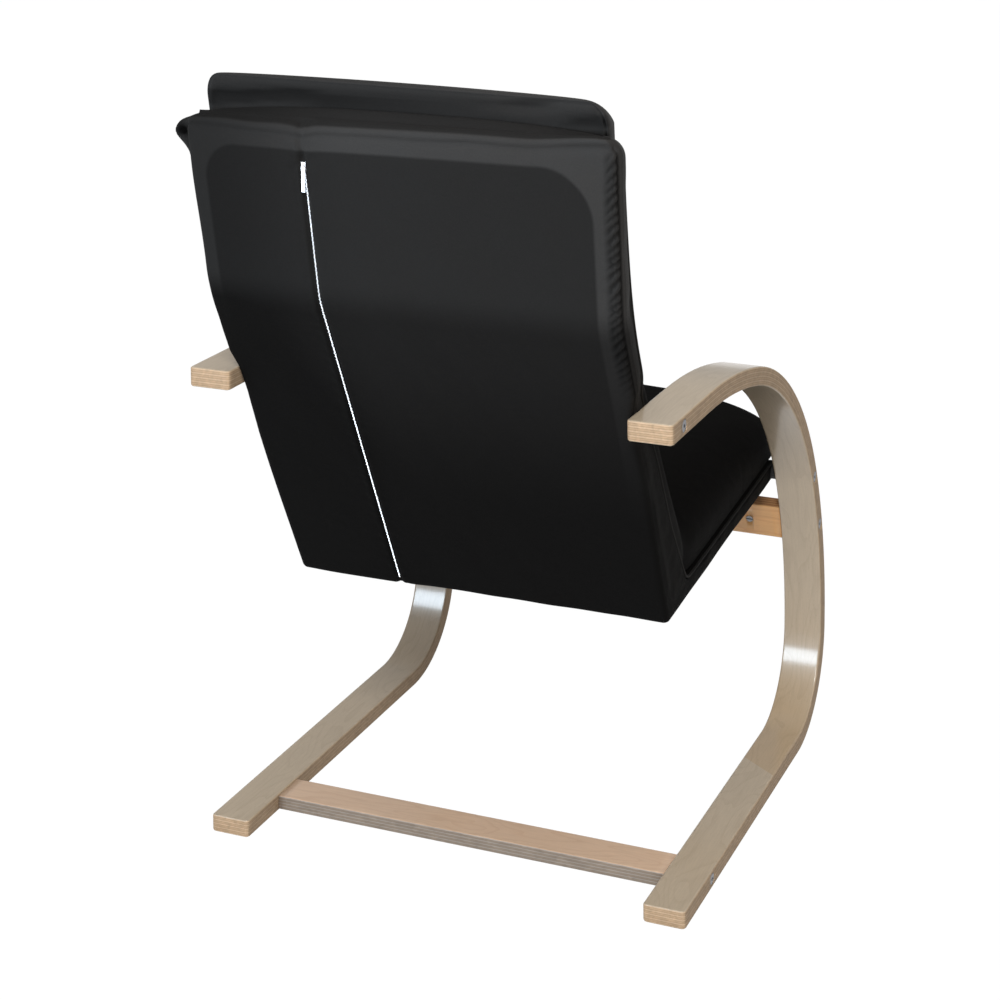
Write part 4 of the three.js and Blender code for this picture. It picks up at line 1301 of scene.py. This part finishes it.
# %% [markdown]
# The back of the pad shows above the sleeve. It has a stitched seam just inside its outline
# and long soft wrinkles across. Both are kept as heights, and like the cover's as painted light
# and shade: painted shade in the seam and in the valleys of the wrinkles.

# %% Seam, wrinkles and painted shading of the cushion
def from_outline(shape):
    """How far a point of the back face lies inside the cushion's outline, near its top."""
    x = shape[..., 0]
    half_width = np.where(x > 0, x.max(axis=1, keepdims=True), -x.min(axis=1, keepdims=True))
    below_top = shape[:1, :, 2] - shape[..., 2]
    return np.minimum(half_width - np.abs(x), below_top)


def cushion_back(shape):
    """1 on the back face above the sleeve, 0 on every other face."""
    angles = 2 * math.pi * (np.arange(cushion_sides) + 0.5) / cushion_sides
    return (np.sin(angles) < 0) * smooth_step(880, 920, shape[..., 2])


def long_folds(shape):
    """Low wide waves that run across the back face, from -1 to 1."""
    x, z = shape[..., 0], shape[..., 2]
    return waves_at(x / 170, (z + 0.05 * x) / 15, 3.7)


def cushion_painted_shading(shape):
    """Painted light and shade: the cloth is painted lighter high up, most near the outline and towards the
    sitter's right, painted shade darkens the seam and the wrinkles' valleys, and the cloth is painted darker
    over the seat.
    """
    x, z = shape[..., 0], shape[..., 2]
    inside = from_outline(shape)
    # Painted light: the upper back of the pad is painted lighter, most near its outline and towards the
    # sitter's right.
    upper = smooth_step(900, 950, z)
    clear = -1.5 + (0.5 + 1.3 * smooth_step(-40, -190, x)) * upper
    clear = clear + 1.6 * (1 - smooth_step(3, 7, inside)) * upper
    # Painted shade in the seam's groove, in its puckers, and in the valleys of the long wrinkles.
    pucker_shade = 0.6 + 0.4 * np.sin(z / 6.5 * 2 * math.pi)
    on_side = smooth_step(20, 60, shape[:1, :, 2] - z + 40) * smooth_step(-150, -215, x)
    seam = hump(inside - 3.0, 1.2) * (0.1 + 0.85 * pucker_shade * on_side)
    seam = (seam + np.clip(-2.6 * long_folds(shape) - 0.1, 0, 0.45)) * cushion_back(shape)
    # Painted shade: darker low down, over the seat.
    low = 1 - smooth_step(560, 900, z)
    return np.stack([clear, np.clip(seam, 0, 1), low], axis=-1)


def cushion_wrinkles(shape):
    """The seam round the back face, and long wrinkles that run across it."""
    x, z = shape[..., 0], shape[..., 2]
    inside = from_outline(shape)
    groove = -hump(inside - 3.0, 1.4)
    small_folds = waves_at(x / 45, z / 9, 8.2)
    folds = (6.0 * long_folds(shape) + 1.5 * small_folds) * smooth_step(4, 12, inside)
    return (groove + folds) * cushion_back(shape)


cushion_painted_values = cushion_painted_shading(cushion_shape)
cushion = ring_mesh("seat_back_cushion", placed(cushion_shape), values=cushion_painted_values, value_name="painted_shading")
print("cushion:", len(cushion.data.vertices), "points")

# %% [markdown]
# The simulation runs for twenty frames with air pressure inside and no gravity. Afterwards no
# point may be further than a cap from where it started, and the bag stays narrower than the
# gap between the arms.

# %% Blow up the cushion
sim_frames = 20
swell_cap = 13.0 * MM
arm_clearance = 1.2


def raise_points(piece, heights):
    normals = np.array([v.normal for v in piece.data.vertices])
    places = np.array([v.co for v in piece.data.vertices])
    places += normals * heights.reshape(-1, 1) * MM
    piece.data.vertices.foreach_set("co", places.ravel())
    piece.data.update()


def blow_up(piece, hold, cap, widest):
    start = np.array([v.co for v in piece.data.vertices])
    group = piece.vertex_groups.new(name="held")
    for index, weight in enumerate(hold.ravel()):
        if weight > 0:
            group.add([index], float(weight), "REPLACE")
    cloth = piece.modifiers.new("cloth", "CLOTH")
    settings = cloth.settings
    settings.quality = 6
    settings.mass = 0.25
    settings.tension_stiffness = 60
    settings.compression_stiffness = 40
    settings.shear_stiffness = 30
    settings.bending_stiffness = 2.0
    settings.vertex_group_mass = "held"
    settings.use_pressure = True
    settings.uniform_pressure_force = 0.35
    settings.effector_weights.gravity = 0
    cloth.point_cache.frame_start = 1
    cloth.point_cache.frame_end = sim_frames
    scene = bpy.context.scene
    for moment in range(1, sim_frames + 1):
        scene.frame_set(moment)
    depsgraph = bpy.context.evaluated_depsgraph_get()
    blown = bpy.data.meshes.new_from_object(piece.evaluated_get(depsgraph))
    moved = np.array([v.co for v in blown.vertices]) - start
    size = np.linalg.norm(moved, axis=1, keepdims=True)
    moved *= np.minimum(1, cap / np.maximum(size, 1e-9))
    piece.modifiers.clear()
    final = start + moved
    final[:, 0] = np.clip(final[:, 0], -widest, widest)
    piece.data.vertices.foreach_set("co", final.ravel())
    piece.data.update()
    bpy.data.meshes.remove(blown)
    scene.frame_set(1)
    return float(size.max())


furthest = blow_up(cushion, cushion_hold, swell_cap, (cover_half - arm_clearance) * MM)
print("cushion swelled by up to", round(furthest * 1000, 1), "mm before the cap")
raise_points(cushion, cushion_wrinkles(cushion_shape))
dress(cushion, cushion_cotton)
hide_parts("front_cushion")
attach(cushion, "seat_unit")
print("cushion dressed")

# %% [markdown]
# ## Zip
# A zip is a woven tape with two rows of small teeth that lock in the middle. The teeth are a
# repeated small block, set left and right in turn along the course of the rear panel, so that
# the light line of the chain breaks up as a real one does when seen close.

# %% Zip tape and teeth
def rear_course(first, last, space, lift):
    wanted = np.arange(first, last, space)
    y = np.interp(wanted, row_runs, rear_rows[:, 0])
    z = np.interp(wanted, row_runs, rear_rows[:, 1])
    ways = np.column_stack([np.gradient(y), np.gradient(z)])
    ways /= np.linalg.norm(ways, axis=1, keepdims=True)
    outwards = np.column_stack([-ways[:, 1], ways[:, 0]])
    return np.column_stack([y, z]) + outwards * lift, ways, outwards


tooth_pitch = 2.6
tooth_size = Vector((1.9, 1.4, 2.3)) * MM
tooth_offset = 0.2
tooth_bevel = 0.3 * MM
slider_room = 14.0
chain_sink = 0.75
tape_sink = 3.4
tape_half = 11.8
tape_hem = 0.8
tape_half_thickness = 0.35


def zip_mesh():
    parts = bmesh.new()
    middles, ways, outs = rear_course(zip_start + slider_room, zip_end, tooth_pitch, -chain_sink)
    for k, (middle, way, out) in enumerate(zip(middles, ways, outs)):
        side = 1 if k % 2 else -1
        block = bmesh.ops.create_cube(parts, size=1.0)["verts"]
        out3 = Vector((0, out[0], out[1]))
        way3 = Vector((0, way[0], way[1]))
        turn = Matrix((Vector((1, 0, 0)), out3, way3)).transposed().to_4x4()
        place = Vector(placed((zip_x + side * tooth_offset, middle[0], middle[1])))
        pose = Matrix.Translation(place) @ turn @ Matrix.Diagonal(tooth_size).to_4x4()
        bmesh.ops.transform(parts, matrix=pose, verts=block)
    bmesh.ops.bevel(parts, geom=list(parts.edges), offset=tooth_bevel, segments=1, affect="EDGES")
    data = bpy.data.meshes.new("zip_teeth")
    parts.to_mesh(data)
    parts.free()
    teeth = bpy.data.objects.new("zip_teeth", data)
    bpy.context.scene.collection.objects.link(teeth)
    return teeth, len(middles)


zip_teeth, tooth_count = zip_mesh()
tape_middles, _, tape_outs = rear_course(zip_start, zip_end, 6.0, -tape_sink)
inner = tape_half - tape_hem
section = [(-tape_half, 0.0), (-inner, tape_half_thickness), (inner, tape_half_thickness),
           (tape_half, 0.0), (inner, -tape_half_thickness), (-inner, -tape_half_thickness)]
tape_rings = []
for middle, out in zip(tape_middles, tape_outs):
    tape_rings.append([(zip_x + u, middle[0] + out[0] * v, middle[1] + out[1] * v) for u, v in section])
zip_tape = ring_mesh("zip_band", placed(tape_rings))
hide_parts("zip_tape")
for piece, slot in ((zip_tape, "zip_chain"), (zip_teeth, "zip_chain")):
    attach(piece, "seat_unit")
print("zip teeth:", tooth_count)

# %% [markdown]
# ## Webbing
# Inside the cover, elastic bands cross the hidden frame and carry the cushion. They can't be
# seen until the zip is open, but a real one is there, so each is a thin woven band with a
# thicker hem where it is fixed and a slight sag between the rails.

# %% Webbing bands
band_half = 24.5 * MM
band_half_thickness = 0.6 * MM
band_thickness = 1.5 * MM
band_sag = 2.2 * MM
band_section = [(-1, -0.3), (-0.94, -1), (0.94, -1), (1, -0.3),
                (1, 0.3), (0.94, 1), (-0.94, 1), (-1, 0.3)]


def webbing_band(node, body):
    low, high = (Vector(corner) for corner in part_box(node))
    upright = (high.z - low.z) > (high.y - low.y) * 0.6
    rings = []
    for share in np.linspace(-1, 1, 33):
        x = (low.x + high.x) / 2 + share * (high.x - low.x) / 2
        sag = band_sag * (1 - share**2)
        hem = 1.0 + 0.25 * (abs(share) > 0.93)
        ring = []
        for u, v in band_section:
            along = u * band_half
            deep = v * band_half_thickness * hem
            if upright:
                lean = math.atan2(high.y - low.y - band_thickness, high.z - low.z)
                y = (low.y + high.y) / 2 + along * math.sin(lean) - deep * math.cos(lean) + sag * 0.3
                z = (low.z + high.z) / 2 + along * math.cos(lean) + deep * math.sin(lean)
            else:
                rise = math.atan2(high.z - low.z - band_thickness, high.y - low.y)
                y = (low.y + high.y) / 2 - along * math.cos(rise)
                z = (low.z + high.z) / 2 + along * math.sin(rise) + deep - sag * 0.3
            ring.append((x, y, z))
        rings.append(ring)
    band = ring_mesh(f"{node}_band", rings)
    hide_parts(node)
    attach(band, body)
    return band


band_nodes = sorted(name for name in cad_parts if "_strap_" in name)
bands = [webbing_band(name, "seat_unit") for name in band_nodes]
print("bands:", len(bands))

# %% [markdown]
# ## Metal, nylon, webbing and hidden wood
# Small fittings come from the CAD model as they are and only need their finish. Bolts are
# dark steel, nuts and inserts zinc plated, and the spacers moulded nylon, which has faint flow
# streaks and so shares the finish of the hidden beech. A noise varies the tone of every metal,
# as handling does.

# %% Finishes of the fittings
def worn_metal(name, colour, rough, scale):
    material, tree, shader = new_material(name)
    places = put(tree, "ShaderNodeTexCoord").outputs["Object"]
    turned = noise_of(tree, places, scale, 5.0)
    wear = ranged(tree, turned, (0.35, 0.7), (0.75, 1.3))
    tone = put(tree, "ShaderNodeVectorMath", {0: colour, "Scale": wear}, operation="SCALE")
    tree.links.new(tone.outputs[0], shader.inputs["Base Color"])
    tree.links.new(ranged(tree, turned, to=(rough - 0.1, rough + 0.15)), shader.inputs["Roughness"])
    shader.inputs["Metallic"].default_value = 1.0
    tree.links.new(bumped(tree, 0.2, 0.0001, turned), shader.inputs["Normal"])
    return material


def streaked_solid(name, colour):
    material, tree, shader = new_material(name)
    places = put(tree, "ShaderNodeTexCoord").outputs["Object"]
    stretched = put(tree, "ShaderNodeMapping", {"Vector": places, "Scale": (8.0, 160.0, 160.0)})
    fibre = noise_of(tree, stretched.outputs[0], 1.0, 4.0)
    dark = tuple(c * 0.7 for c in colour[:3]) + (1,)
    tree.links.new(mixed(tree, ranged(tree, fibre, (0.3, 0.7)), dark, colour), shader.inputs["Base Color"])
    tree.links.new(bumped(tree, 0.3, 0.0002, fibre), shader.inputs["Normal"])
    shader.inputs["Roughness"].default_value = 0.6
    return material


def woven_band(name, colour, pitch):
    material, tree, shader = new_material(name)
    places = put(tree, "ShaderNodeTexCoord").outputs["Object"]
    woven = weave_of(tree, places, pitch)
    dark = tuple(c * 0.6 for c in colour[:3]) + (1,)
    tree.links.new(mixed(tree, ranged(tree, woven, (-1.0, 1.0)), dark, colour), shader.inputs["Base Color"])
    tree.links.new(bumped(tree, 0.5, 0.0003, woven), shader.inputs["Normal"])
    shader.inputs["Roughness"].default_value = 0.85
    shader.inputs["Sheen Weight"].default_value = 0.1
    return material


dark_steel = worn_metal("dark_steel", (0.2, 0.2, 0.21), 0.36, 400.0)
zinc_steel = worn_metal("zinc_steel", (0.22, 0.22, 0.225), 0.38, 500.0)
zip_metal = worn_metal("zip_metal", (0.8, 0.8, 0.81), 0.3, 700.0)
zip_chain = worn_metal("zip_chain", (0.86, 0.86, 0.87), 0.38, 900.0)
tape_weave = woven_band("zip_tape_weave", (0.02, 0.02, 0.021, 1), 0.0008)
webbing_weave = woven_band("webbing_weave", (0.03, 0.028, 0.026, 1), 0.0016)
nylon = streaked_solid("nylon", (0.012, 0.012, 0.012, 1))
inner_beech = streaked_solid("inner_wood", (0.5, 0.36, 0.21, 1))
dress(zip_teeth, zip_chain)
dress(zip_tape, tape_weave)
for band in bands:
    dress(band, webbing_weave)

finish_by_word = {"bolt": dark_steel, "nut": zinc_steel, "insert": zinc_steel, "spacer": nylon,
                  "slider": zip_metal, "pull": zip_metal, "rail": inner_beech}
kept = 0
for name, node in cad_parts.items():
    word = name.split("_")[-1]
    if word in finish_by_word and name not in ("floor_rail", "front_rail"):
        dress(node, finish_by_word[word])
        kept += 1
print("fittings dressed:", kept)
